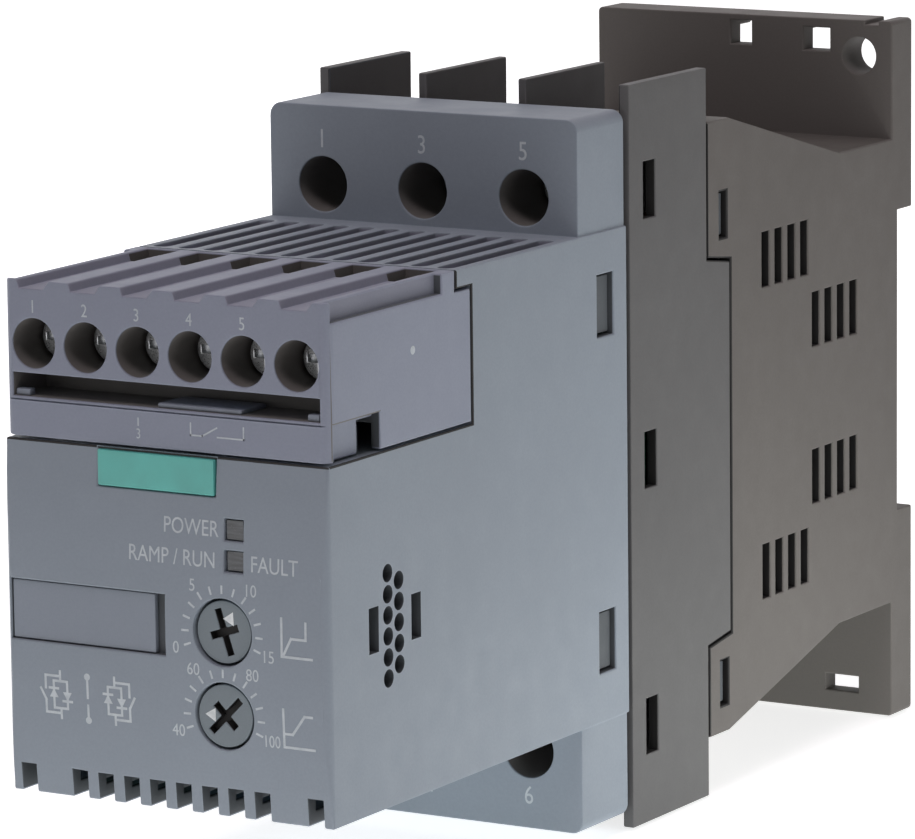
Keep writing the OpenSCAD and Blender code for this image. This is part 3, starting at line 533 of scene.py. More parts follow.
@dataclass(frozen=True)
class PaintedPlate(Finish):
    """Enamelled plate with a faint orange-peel surface and a rim paled partly by rubbing and partly by a
    painted highlight.
    """

    name: str
    colour: Colour
    roughness: float = 0.34
    cloud_size: float = 4.5
    peel_size: float = 0.28
    peel_depth: float = 0.012
    edge_width: float = 0.3

    def make(self, graph: Graph) -> bpy.types.Material:
        """Wires the enamel's shading, its peel and the rim's rubbing with a painted highlight.

        Args:
            graph: Graph of the new material.

        Returns:
            The wired material.
        """
        cloud = graph.cloud(self.cloud_size, 3.0)
        peel = graph.cloud(self.peel_size, 1.0)
        low, high = shade(self.colour, 0.9), shade(self.colour, 1.1)
        base = graph.mix(graph.spread(cloud, 0.3, 0.7), low, high)
        base = graph.mix(graph.spread(peel, 0.6, 0.8, 0.0, 0.25), base, shade(self.colour, 0.8))
        # Rim paled partly as wear and partly as a painted highlight.
        wear_and_highlight = graph.combine("MULTIPLY", graph.rubbed_edges(self.edge_width), 0.6)
        base = graph.mix(wear_and_highlight, base, shade(self.colour, 1.3))
        gloss = graph.spread(cloud, 0.3, 0.7, self.roughness - 0.05, self.roughness + 0.08)
        normal = graph.relief(peel, self.peel_depth, 0.22)
        return graph.finish(Base_Color=base, Roughness=gloss, Normal=normal, IOR=1.5)


@dataclass(frozen=True)
class BoardLacquer(Finish):
    """Circuit board with tracks showing as ridges under the green lacquer."""

    name: str
    colour: Colour
    pad: Colour = tone(176, 170, 140)
    pad_spacing: float = 2.2
    track_crowd: float = 260.0
    track_width: float = 0.09
    track_depth: float = 0.03
    weave_size: float = 0.4

    def make(self, graph: Graph) -> bpy.types.Material:
        """Wires the tracks, the weave of the laminate and the pads.

        Args:
            graph: Graph of the new material.

        Returns:
            The wired material.
        """
        layout = {"Vector": graph.place, "Scale": self.track_crowd, "Mortar Size": self.track_width}
        tracks = graph.add("ShaderNodeTexBrick", layout).outputs["Fac"]
        weave = graph.cloud(self.weave_size, 1.0)
        pads = graph.cells(self.pad_spacing)
        base = graph.mix(tracks, self.colour, shade(self.colour, 1.5))
        base = graph.mix(graph.spread(pads, 0.1, 0.14, 0.8, 0.0), base, self.pad)
        base = graph.mix(graph.spread(weave, 0.4, 0.7, 0.0, 0.3), base, shade(self.colour, 0.7))
        normal = graph.relief(tracks, self.track_depth, 0.5)
        gloss = graph.spread(weave, 0.3, 0.7, 0.28, 0.42)
        return graph.finish(Base_Color=base, Roughness=gloss, Normal=normal)


class Look(Enum):
    """The finishes of the unit, by where they are used."""

    # The lift of the edges in these finishes is partly wear and partly painted highlight.
    HOUSING = MouldedPlastic("housing_moulding", tone(138, 146, 156))
    BLOCK = MouldedPlastic("block_moulding", tone(140, 145, 160))
    FRAME = MouldedPlastic("frame_moulding", tone(101, 100, 100), gloss=0.12, edge_lift=1.3)
    BASE = MouldedPlastic("base_moulding", tone(104, 100, 97), gloss=0.12, edge_lift=1.3)
    LATCH = MouldedPlastic("latch_moulding", tone(52, 52, 53), roughness=0.42, edge_lift=1.5)
    KNOB = MouldedPlastic("knob_moulding", tone(118, 127, 133), roughness=0.44, grain=0.22)
    LABEL = MouldedPlastic("label_moulding", tone(134, 141, 152), roughness=0.4, grain=0.2,
                           grain_strength=0.2)
    BLACK = MouldedPlastic("component_moulding", tone(40, 40, 42), roughness=0.45, edge_lift=1.6)
    TRIMMER = MouldedPlastic("trimmer_moulding", tone(46, 78, 142), roughness=0.4)
    BADGE = PaintedPlate("name_plate_enamel", tone(92, 175, 166))
    LENS = SmokedLens("smoked_lens", tone(66, 71, 75), tone(40, 44, 47))
    # Painted shade: darker plastic on the walls of screwdriver holes and wire pits.
    HOLE = MouldedPlastic("hole_wall_painted_shade", tone(110, 107, 104), roughness=0.6, edge_lift=1.1)
    # Painted shade: darker plastic in notches, vents, recesses, pockets and on the snap tongues inside
    # their windows.
    DEEP = MouldedPlastic("deep_wall_painted_shade", tone(82, 86, 90), roughness=0.6, edge_lift=1.15)
    # Painted shade: slightly darker plastic on the walls and floors of grooves and channels.
    GROOVE = MouldedPlastic("groove_painted_shade", tone(136, 138, 152), roughness=0.6, edge_lift=1.25)
    # Painted shadow: near-black plastic in the gaps between parts, in windows and slots, and in the
    # knobs' slots.
    SHADOW_GAP = MouldedPlastic("gap_painted_shadow", tone(32, 31, 31), roughness=0.6, edge_lift=1.2)
    # Painted shade: the base's upward faces darker than its sides.
    BASE_ROOF = MouldedPlastic("base_roof_painted_shade", tone(82, 78, 75), gloss=0.12, edge_lift=1.3)
    INK = Ink("pale_ink", tone(190, 196, 201), tone(164, 171, 178))
    POINTER = Ink("pointer_ink", tone(226, 229, 230), tone(170, 176, 180))
    STEEL = PlatedMetal("zinc_plate", tone(205, 207, 209))
    CLAMP = PlatedMetal("clamp_plate", tone(150, 151, 153), roughness=0.42, lines=(8.0, 8.0, 0.4))
    SPRING = PlatedMetal("spring_wire", tone(190, 191, 193), roughness=0.26)
    BRASS = PlatedMetal("stamped_brass", tone(206, 174, 102), lines=(8.0, 0.5, 8.0))
    COPPER = PlatedMetal("stamped_copper", tone(202, 132, 92), roughness=0.34, lines=(8.0, 8.0, 0.4))
    SINK = PlatedMetal("extruded_aluminium", tone(122, 124, 127), roughness=0.5, lines=(9.0, 9.0, 0.15))
    BOARD = BoardLacquer("board_lacquer", tone(28, 84, 56))


Chooser = Callable[[Vector, Vector], Look]


class Shop:
    """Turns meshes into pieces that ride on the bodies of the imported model."""

    weld: float = 0.002
    seam: float = 0.001
    level_angle: float = 0.6
    sharp_angle: float = 32.0
    flat_lead: int = 80
    side_wall: float = 22.2
    turned_over: float = -1e-12
    snap: float = 1e-9

    def __init__(self, frame: dict) -> None:
        """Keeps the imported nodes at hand.
        """
        self.nodes: dict[str, bpy.types.Object] = frame["nodes"]

    def body_of(self, node: str) -> str:
        """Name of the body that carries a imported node."""
        return self.nodes[node]["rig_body"]

    def piece(self, name: str, bm: BMesh, look: Look, body: str, crease: float = 42.0,
              weighted: bool = False, others: tuple[Look, ...] = ()) -> bpy.types.Object:
        """Makes a piece from a mesh that is already in place.

        Args:
            name: Name of the piece.
            bm: Its mesh, freed here.
            look: Its finish.
            body: Body it rides on.
            crease: Angle in degrees above which an edge stays sharp.
            weighted: Whether large flat faces lead the shading of the eased edges beside them.
            others: Finishes of the faces whose material index is 1 and up.

        Returns:
            The new object.
        """
        for face in bm.faces:
            face.smooth = True
        for edge in bm.edges:
            edge.smooth = len(edge.link_faces) == 2 and edge.calc_face_angle(0.0) < math.radians(crease)
        mesh = bpy.data.meshes.new(name)
        bm.to_mesh(mesh)
        bm.free()
        for finish in (look, *others):
            mesh.materials.append(finish.value.material())
        piece = put(name, mesh)
        if weighted:
            shading = piece.modifiers.new("flat_faces_lead", "WEIGHTED_NORMAL")
            shading.keep_sharp = True
            shading.weight = self.flat_lead
        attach(piece, body)
        log.info("piece %s on %s, %d faces", name, body, len(mesh.polygons))
        return piece

    def paint(self, node: str, look: Look) -> None:
        """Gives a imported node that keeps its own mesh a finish.

        Args:
            node: Name of the node.
            look: Finish for it.
        """
        for slot in self.nodes[node].material_slots:
            slot.material = look.value.material()
        log.info("node %s keeps its mesh, %s", node, look.value.name)

    def eased(self, node: str, look: Look, ease: float, keep: Callable[[Vector], bool] | None = None,
              others: tuple[Look, ...] = (), choose: Chooser | None = None) -> bpy.types.Object:
        """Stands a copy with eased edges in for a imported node.

        Args:
            node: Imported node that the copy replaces.
            look: Finish of the copy.
            ease: Width of the eased edges in millimetres.
            keep: Says of an edge's middle, in millimetres, whether the edge stays sharp.
            others: Further finishes for some of the faces.
            choose: Gives a face's finish, one of look and others, from its middle in millimetres and
                its normal.

        Returns:
            The new object.
        """
        bm = bmesh.new()
        bm.from_mesh(self.nodes[node].data)
        bmesh.ops.remove_doubles(bm, verts=bm.verts, dist=self.weld * MM)
        bmesh.ops.dissolve_limit(bm, angle_limit=math.radians(self.level_angle), verts=bm.verts,
                                 edges=bm.edges)
        sharp = [e for e in bm.edges if len(e.link_faces) == 2 and e.is_convex]
        sharp = [e for e in sharp if e.calc_face_angle(0.0) > math.radians(self.sharp_angle)]
        if keep is not None:
            sharp = [e for e in sharp if not keep(place_of((e.verts[0].co + e.verts[1].co) / 2))]
        ease_edges(bm, sharp, ease, slide=True)
        self.mend(bm)
        low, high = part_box(node)
        for vert in bm.verts:
            vert.co = [min(max(c, a), b) for c, a, b in zip(vert.co, low, high)]
        if choose is not None:
            finishes = (look, *others)
            for face in bm.faces:
                chosen = choose(place_of(face.calc_center_median()), face.normal)
                face.material_index = finishes.index(chosen)
        piece = self.piece(f"{node}_body", bm, look, self.body_of(node), weighted=True, others=others)
        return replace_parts(piece, node)

    @staticmethod
    def mend(bm: BMesh) -> None:
        """Cuts each face whose outline crosses itself after the easing into clean triangles.

        Args:
            bm: Mesh to mend.
        """
        bm.normal_update()
        crossed = set()
        for loops in bm.calc_loop_triangles():
            a, b, c = (loop.vert.co for loop in loops)
            if (b - a).cross(c - a).dot(loops[0].face.normal) < Shop.turned_over:
                crossed.add(loops[0].face)
        for face in crossed:
            corner, normal = face.verts[0].co.copy(), face.normal.copy()
            right = normal.orthogonal().normalized()
            up = normal.cross(right)
            flat = [Vector(((v.co - corner).dot(right), (v.co - corner).dot(up))) for v in face.verts]
            points, _, triangles, *_ = delaunay_2d_cdt(flat, [], [list(range(len(flat)))], 1, Shop.snap)
            verts = [bm.verts.new(corner + right * q.x + up * q.y) for q in points]
            for triangle in triangles:
                middle = sum((points[k] for k in triangle), Vector((0, 0))) / len(triangle)
                if Shop.turns_round(flat, middle) > 0:
                    bm.faces.new([verts[k] for k in triangle])
        bmesh.ops.delete(bm, geom=list(crossed), context="FACES_ONLY")
        bmesh.ops.remove_doubles(bm, verts=bm.verts, dist=Shop.seam * MM)
        bm.normal_update()

    @staticmethod
    def turns_round(outline: list[Vector], point: Vector) -> int:
        """How often a flat outline goes round a point, to the left.

        Args:
            outline: Corners in order.
            point: Point to go round.

        Returns:
            Number of turns, 0 for a point outside or in a hole.
        """
        turns = 0
        for a, b in zip(outline, outline[1:] + outline[:1]):
            left = (b - a).cross(point - a)
            if a.y <= point.y < b.y and left > 0:
                turns += 1
            if b.y <= point.y < a.y and left < 0:
                turns -= 1
        return turns

    @staticmethod
    def rim(place: Vector, normal: Vector) -> bool:
        """Whether a face is the eased rim of one of the unit's two flat sides."""
        return abs(place.x) > Shop.side_wall and abs(normal.x) < SQUARE


class PrintSheet:
    """Thin print on a face that looks to the front, gathered before it becomes a piece."""

    film: float = 0.02
    lift: float = 0.3
    crease: float = 30.0
    letter_steps: int = 4

    def __init__(self, depth: Callable[[float], float]) -> None:
        """Starts an empty sheet.

        Args:
            depth: Depth of the printed face at a height.
        """
        self.depth = depth
        self.bm = bmesh.new()

    def stroke(self, points: Iterable[Pair], width: float) -> None:
        """Draws a line through points.

        Args:
            points: Places across and up, in millimetres.
            width: Width of the line.
        """
        places = list(points)
        for (x0, z0), (x1, z1) in zip(places, places[1:]):
            run = math.hypot(x1 - x0, z1 - z0) + width
            turn = Matrix.Rotation(math.atan2(z1 - z0, x1 - x0), 4, "Z")
            move = Matrix.Translation(((x0 + x1) / 2, (z0 + z1) / 2, 0))
            size = Matrix.Diagonal((run, width, self.film, 1))
            bmesh.ops.create_cube(self.bm, size=1.0, matrix=move @ turn @ size)

    def fan(self, middle: Pair, radii: Pair, bearings: Iterable[float], width: float) -> None:
        """Draws short marks round a dial.

        Args:
            middle: Centre of the dial.
            radii: Radius where a mark starts and where it ends.
            bearings: Degrees clockwise from the top.
            width: Width of a mark.
        """
        for bearing in bearings:
            a = math.radians(bearing)
            ends = [(middle[0] + r * math.sin(a), middle[1] + r * math.cos(a)) for r in radii]
            self.stroke(ends, width)

    def disc(self, middle: Pair, radius: float, sides: int = 20, bearing: float = 0.0) -> None:
        """Prints a dot, or a triangle with three sides.

        Args:
            middle: Centre of the dot.
            radius: Its radius.
            sides: Number of corners.
            bearing: Degrees clockwise from the top of the first corner.
        """
        turn = Matrix.Rotation(math.radians(-bearing), 4, "Z")
        bmesh.ops.create_cone(self.bm, cap_ends=True, segments=sides, radius1=radius, radius2=radius,
                              depth=self.film, matrix=Matrix.Translation((*middle, 0)) @ turn)

    def mark(self, words: str, middle: Pair, height: float, slim: float) -> None:
        """Prints a plain number or a short common word.

        Args:
            words: What it says.
            middle: Centre of the mark.
            height: Height of its letters in millimetres.
            slim: Share of the usual width.
        """
        curve = bpy.data.curves.new("mark", "FONT")
        curve.body = words
        curve.resolution_u = self.letter_steps
        draft = put("mark", curve)
        bpy.context.view_layer.update()
        shown = draft.evaluated_get(bpy.context.evaluated_depsgraph_get())
        mesh = bpy.data.meshes.new_from_object(shown)
        bpy.data.objects.remove(draft)
        glyphs = bmesh.new()
        glyphs.from_mesh(mesh)
        bpy.data.meshes.remove(mesh)
        xs, ys = [v.co.x for v in glyphs.verts], [v.co.y for v in glyphs.verts]
        size = height / (max(ys) - min(ys))
        home = Matrix.Translation((-(max(xs) + min(xs)) / 2, -(max(ys) + min(ys)) / 2, 0))
        move = Matrix.Translation((*middle, 0)) @ Matrix.Diagonal((size * slim, size, 1, 1)) @ home
        bmesh.ops.transform(glyphs, matrix=move, verts=glyphs.verts)
        bmesh.ops.solidify(glyphs, geom=glyphs.faces[:], thickness=self.film)
        bmesh.ops.recalc_face_normals(glyphs, faces=glyphs.faces)
        lift = -min(v.co.z for v in glyphs.verts) - self.film / 2
        bmesh.ops.translate(glyphs, vec=(0, 0, lift), verts=glyphs.verts)
        done = bpy.data.meshes.new("mark")
        glyphs.to_mesh(done)
        glyphs.free()
        self.bm.from_mesh(done)
        bpy.data.meshes.remove(done)

    def lay(self, shop: Shop, name: str, look: Look, body: str) -> bpy.types.Object:
        """Lays the print on its face as one piece.

        Args:
            shop: Shop that makes the piece.
            name: Name of the piece.
            look: Ink.
            body: Body that carries the face.

        Returns:
            The new object.
        """
        for vert in self.bm.verts:
            x, z, proud = vert.co
            vert.co = at(x, self.depth(z) - proud - self.film * self.lift, z)
        return shop.piece(name, self.bm, look, body, crease=self.crease)


@dataclass(frozen=True)
class ValveSymbol:
    """Printed symbol of two valves back to back with a bypass switch beside them."""

    across: float
    side: int
    low: float = 25.5
    high: float = 29.8
    half_width: float = 0.95
    inset: float = 0.5
    lead: float = 0.7
    valve_radius: float = 0.72
    bar_half: float = 0.6
    bar_rise: float = 0.75
    bypass_out: float = 2.1
    tap: float = 0.1
    switch_half: float = 0.7
    blade: Pair = (0.7, 0.6)

    def draw(self, sheet: PrintSheet, line: float) -> None:
        """Prints the symbol.

        Args:
            sheet: Sheet to print on.
            line: Width of its lines.
        """
        across, middle = self.across, (self.low + self.high) / 2
        left, right = across - self.half_width, across + self.half_width
        foot, head = self.low + self.inset, self.high - self.inset
        for x in (left, right):
            sheet.stroke([(x, foot), (x, head)], line)
        for z in (head, foot):
            sheet.stroke([(left, z), (right, z)], line)
        for x, bearing, rise in ((left, 0.0, self.bar_rise), (right, 180.0, -self.bar_rise)):
            sheet.disc((x, middle), self.valve_radius, TRIANGLE, bearing)
            sheet.stroke([(x - self.bar_half, middle + rise), (x + self.bar_half, middle + rise)], line)
        sheet.stroke([(across, head), (across, self.high + self.lead)], line)
        sheet.stroke([(across, foot), (across, self.low - self.lead)], line)
        out = across + self.side * self.bypass_out
        upper, lower = self.high + self.tap, self.low - self.tap
        sheet.stroke([(across, upper), (out, upper), (out, middle + self.switch_half)], line)
        tip = (out + self.side * self.blade[0], middle + self.blade[1])
        sheet.stroke([(across, lower), (out, lower), (out, middle - self.switch_half), tip], line)


@dataclass
class FrontPanel:
    """Front housing with its bulged panel, print, plates and status windows."""

    panel_low: float = 15.2
    panel_high: float = 58.0
    bulge: float = 1.0
    tower_face: float = 60.0
    ease: float = 0.24
    label_ease: float = 0.2
    plate_ease: float = 0.18
    window_ease: float = 0.15
    line: float = 0.3

    ring: float = 4.75
    scale_sweep: float = 220.0
    tick: float = 0.75
    tick_width: float = 0.26
    tick_steps: int = 12
    dial_marks: tuple[tuple[str, ...], ...] = (("0", "5", "10", "15"), ("40", "60", "80", "100"))
    dial_mark_height: float = 1.45
    dial_mark_drop: float = 0.2
    short_mark: Pair = (2.1, 0.88)
    long_mark: Pair = (2.3, 0.78)
    long_from: int = 3

    graph_ends: Pair = (16.3, 20.4)
    graph_rise: float = 4.5
    graphs: tuple[tuple[float, tuple[Pair, ...]], ...] = (
        (35.4, ((0.3, 0.3), (1.3, 2.2), (3.3, 2.2), (3.3, 4.2))),
        (24.6, ((0.3, 1.6), (1.2, 1.6), (2.9, 3.9), (3.9, 3.9))))
    valves: tuple[ValveSymbol, ...] = (ValveSymbol(-14.9, -1), ValveSymbol(-7.2, 1))
    link_across: float = -11.05
    link_ends: Pair = (24.9, 30.2)
    link_dot: float = 0.42
    legends: tuple[tuple[str, Pair], ...] = (
        ("POWER", (3.9, 49.6)), ("RAMP / RUN", (1.2, 45.9)), ("FAULT", (15.4, 45.9)))
    legend_height: float = 1.9
    legend_slim: float = 0.82

    poles: Point = (-14.5, 0.0, 14.5)
    hole_rows: Pair = (81.4, 11.8)
    hole_radius: float = 3.6
    hole_rim: float = 0.5
    pole_mark_rows: Pair = (87.2, 6.1)
    pole_mark_height: float = 2.3
    pole_mark_slim: float = 0.85

    tight_vents: Zone = Zone((20.0, FAR), (6.0, 26.0), (22.0, 54.0))
    # The zones below pick faces for painted shade and painted shadow.
    deck_joint: Zone = Zone(ANYWHERE, (-FAR, 34.2), (57.6, 58.1))
    deck_slope: float = 0.2
    back_joint: Zone = Zone(ANYWHERE, (29.8, 34.2), (58.0, 77.2))
    label_recess: Zone = Zone((-22.0, 0.3), (0.35, 1.5), (33.8, 41.4), both_sides=False)
    floor_notch: Zone = Zone((-FAR, 21.6), (0.3, 14.5), (15.6, 18.9))
    notch_front: float = -0.6
    side_vents: tuple[Zone, ...] = (
        Zone((20.5, 22.2), (6.0, 22.0), (20.0, 73.0)), Zone((20.5, 22.2), (63.0, 69.0), (20.0, 73.0)))
    roof_grooves: Zone = Zone(ANYWHERE, (29.5, 57.5), (74.0, 76.8))

    def face(self, height: float) -> float:
        """Depth of the bulged panel.

        Args:
            height: Height on the panel.

        Returns:
            Depth behind the crown.
        """
        rise = self.panel_high - self.panel_low
        radius = rise**2 / (8 * self.bulge) + self.bulge / 2
        off = height - (self.panel_high + self.panel_low) / 2
        return radius - math.sqrt(radius**2 - off**2)

    def build(self, shop: Shop) -> None:
        """Builds and dresses the housing, its plates, windows and print.

        Args:
            shop: Shop that makes the pieces.
        """
        # Besides the plain finish, painted shade and shadow for holes, recesses, grooves and joints.
        shop.eased("front_housing", Look.HOUSING, self.ease, self.tight_vents.holds,
                   (Look.HOLE, Look.DEEP, Look.GROOVE, Look.SHADOW_GAP), self.finish_of)
        shop.eased("label_plate", Look.LABEL, self.label_ease)
        shop.eased("name_plate", Look.BADGE, self.plate_ease)
        for node in ("upper_light_guide", "lower_light_guide"):
            shop.eased(node, Look.LENS, self.window_ease)
        self.print_panel(shop)
        self.print_tower(shop)

    def driver_hole(self, place: Vector) -> bool:
        """Whether a face is the wall of a screwdriver hole in the tower.

        Args:
            place: Middle of the face in millimetres.

        Returns:
            True behind the tower's front and inside a hole's radius.
        """
        if place.y < self.tower_face + self.hole_rim:
            return False
        near = [math.hypot(place.x - x, place.z - z) for x in self.poles for z in self.hole_rows]
        return min(near) < self.hole_radius

    def finish_of(self, place: Vector, normal: Vector) -> Look:
        """Finish of a face of the housing.

        Args:
            place: Middle of the face in millimetres.
            normal: Its normal.

        Returns:
            Painted shade for a hole wall, a deep wall or a roof groove, painted shadow for a joint, or
            the plain finish.
        """
        if self.driver_hole(place):
            return Look.HOLE
        deck = self.deck_joint.holds(place) and self.deck_slope < normal.z < SQUARE
        if deck or (self.back_joint.holds(place) and Shop.rim(place, normal)):
            return Look.SHADOW_GAP
        vent = abs(normal.x) < STEEP and any(zone.holds(place) for zone in self.side_vents)
        notch = self.floor_notch.holds(place) and normal.y > self.notch_front
        if vent or notch or self.label_recess.holds(place):
            return Look.DEEP
        return Look.GROOVE if self.roof_grooves.holds(place) else Look.HOUSING

    def print_panel(self, shop: Shop) -> None:
        """Prints the dials, the graphs, the circuit symbols and the lamp legends.

        Args:
            shop: Shop that makes the piece.
        """
        sheet = PrintSheet(self.face)
        for height, marks in zip(KNOB_HEIGHTS, self.dial_marks):
            self.print_dial(sheet, height, marks)
        self.print_graphs(sheet)
        for valve in self.valves:
            valve.draw(sheet, self.line)
        ends = [(self.link_across, height) for height in self.link_ends]
        sheet.stroke(ends, self.line)
        for end in ends:
            sheet.disc(end, self.link_dot)
        for words, middle in self.legends:
            sheet.mark(words, middle, self.legend_height, self.legend_slim)
        sheet.lay(shop, "panel_print", Look.INK, "housing")

    def print_dial(self, sheet: PrintSheet, height: float, marks: tuple[str, ...]) -> None:
        """Prints the ticks and numbers round one knob.

        Args:
            sheet: Sheet to print on.
            height: Height of the knob's middle.
            marks: Numbers from the start of the scale to its end.
        """
        start = -self.scale_sweep / 2
        steps = [start + self.scale_sweep * k / self.tick_steps for k in range(self.tick_steps + 1)]
        sheet.fan((KNOB_ACROSS, height), (self.ring, self.ring + self.tick), steps, self.tick_width)
        for k, words in enumerate(marks):
            a = math.radians(start + self.scale_sweep * k / (len(marks) - 1))
            gap, slim = self.short_mark if len(words) < self.long_from else self.long_mark
            reach = self.ring + gap
            rise = (reach - self.dial_mark_drop) * math.cos(a)
            place = (KNOB_ACROSS + reach * math.sin(a), height + rise)
            sheet.mark(words, place, self.dial_mark_height, slim)

    def print_graphs(self, sheet: PrintSheet) -> None:
        """Prints the ramp graph beside the upper dial and the step graph beside the lower one.

        Args:
            sheet: Sheet to print on.
        """
        left, right = self.graph_ends
        for low, curve in self.graphs:
            sheet.stroke([(left, low + self.graph_rise), (left, low), (right, low)], self.line)
            sheet.stroke([(left + x, low + z) for x, z in curve], self.line)

    def print_tower(self, shop: Shop) -> None:
        """Prints plain numbers at the line and load terminals.

        Args:
            shop: Shop that makes the piece.
        """
        sheet = PrintSheet(lambda height: self.tower_face)
        for k, across in enumerate(self.poles):
            for number, height in enumerate(self.pole_mark_rows, 2 * k + 1):
                sheet.mark(str(number), (across, height), self.pole_mark_height, self.pole_mark_slim)
        sheet.lay(shop, "tower_print", Look.INK, "housing")


@dataclass
class SettingKnobs:
    """Two setting knobs with painted pointers."""

    face: float = 0.5
    ease: float = 0.16
    pointer_reach: Pair = (0.95, 2.75)
    pointer_radius: float = 0.95
    slot_reach: float = 3.5
    slot_rim: float = 0.2
    bearings: tuple[tuple[str, float], ...] = (("ramp_knob", 27.0), ("voltage_knob", -90.0))

    def build(self, shop: Shop) -> None:
        """Builds each knob and its pointer.

        Args:
            shop: Shop that makes the pieces.
        """
        for (node, bearing), height in zip(self.bearings, KNOB_HEIGHTS):
            # The knob's slots get painted shadow.
            knob = shop.eased(node, Look.KNOB, self.ease, None, (Look.SHADOW_GAP,),
                              self.slot_wall(height))
            sheet = PrintSheet(lambda z: self.face)
            a = math.radians(bearing)
            reach = sum(self.pointer_reach) / 2
            middle = (KNOB_ACROSS + reach * math.sin(a), height + reach * math.cos(a))
            sheet.disc(middle, self.pointer_radius, TRIANGLE, bearing)
            sheet.lay(shop, f"{node}_pointer", Look.POINTER, node)

    def slot_wall(self, height: float) -> Chooser:
        """Makes the chooser that paints shadow into the crossed slots of a knob.

        Args:
            height: Height of the knob's middle.

        Returns:
            Chooser for the knob's faces.
        """
        def choose(place: Vector, normal: Vector) -> Look:
            """Painted shadow for a face that lies under the knob's front and inside its rim."""
            inside = math.hypot(place.x - KNOB_ACROSS, place.z - height) < self.slot_reach
            return Look.SHADOW_GAP if inside and place.y > self.face + self.slot_rim else Look.KNOB
        return choose


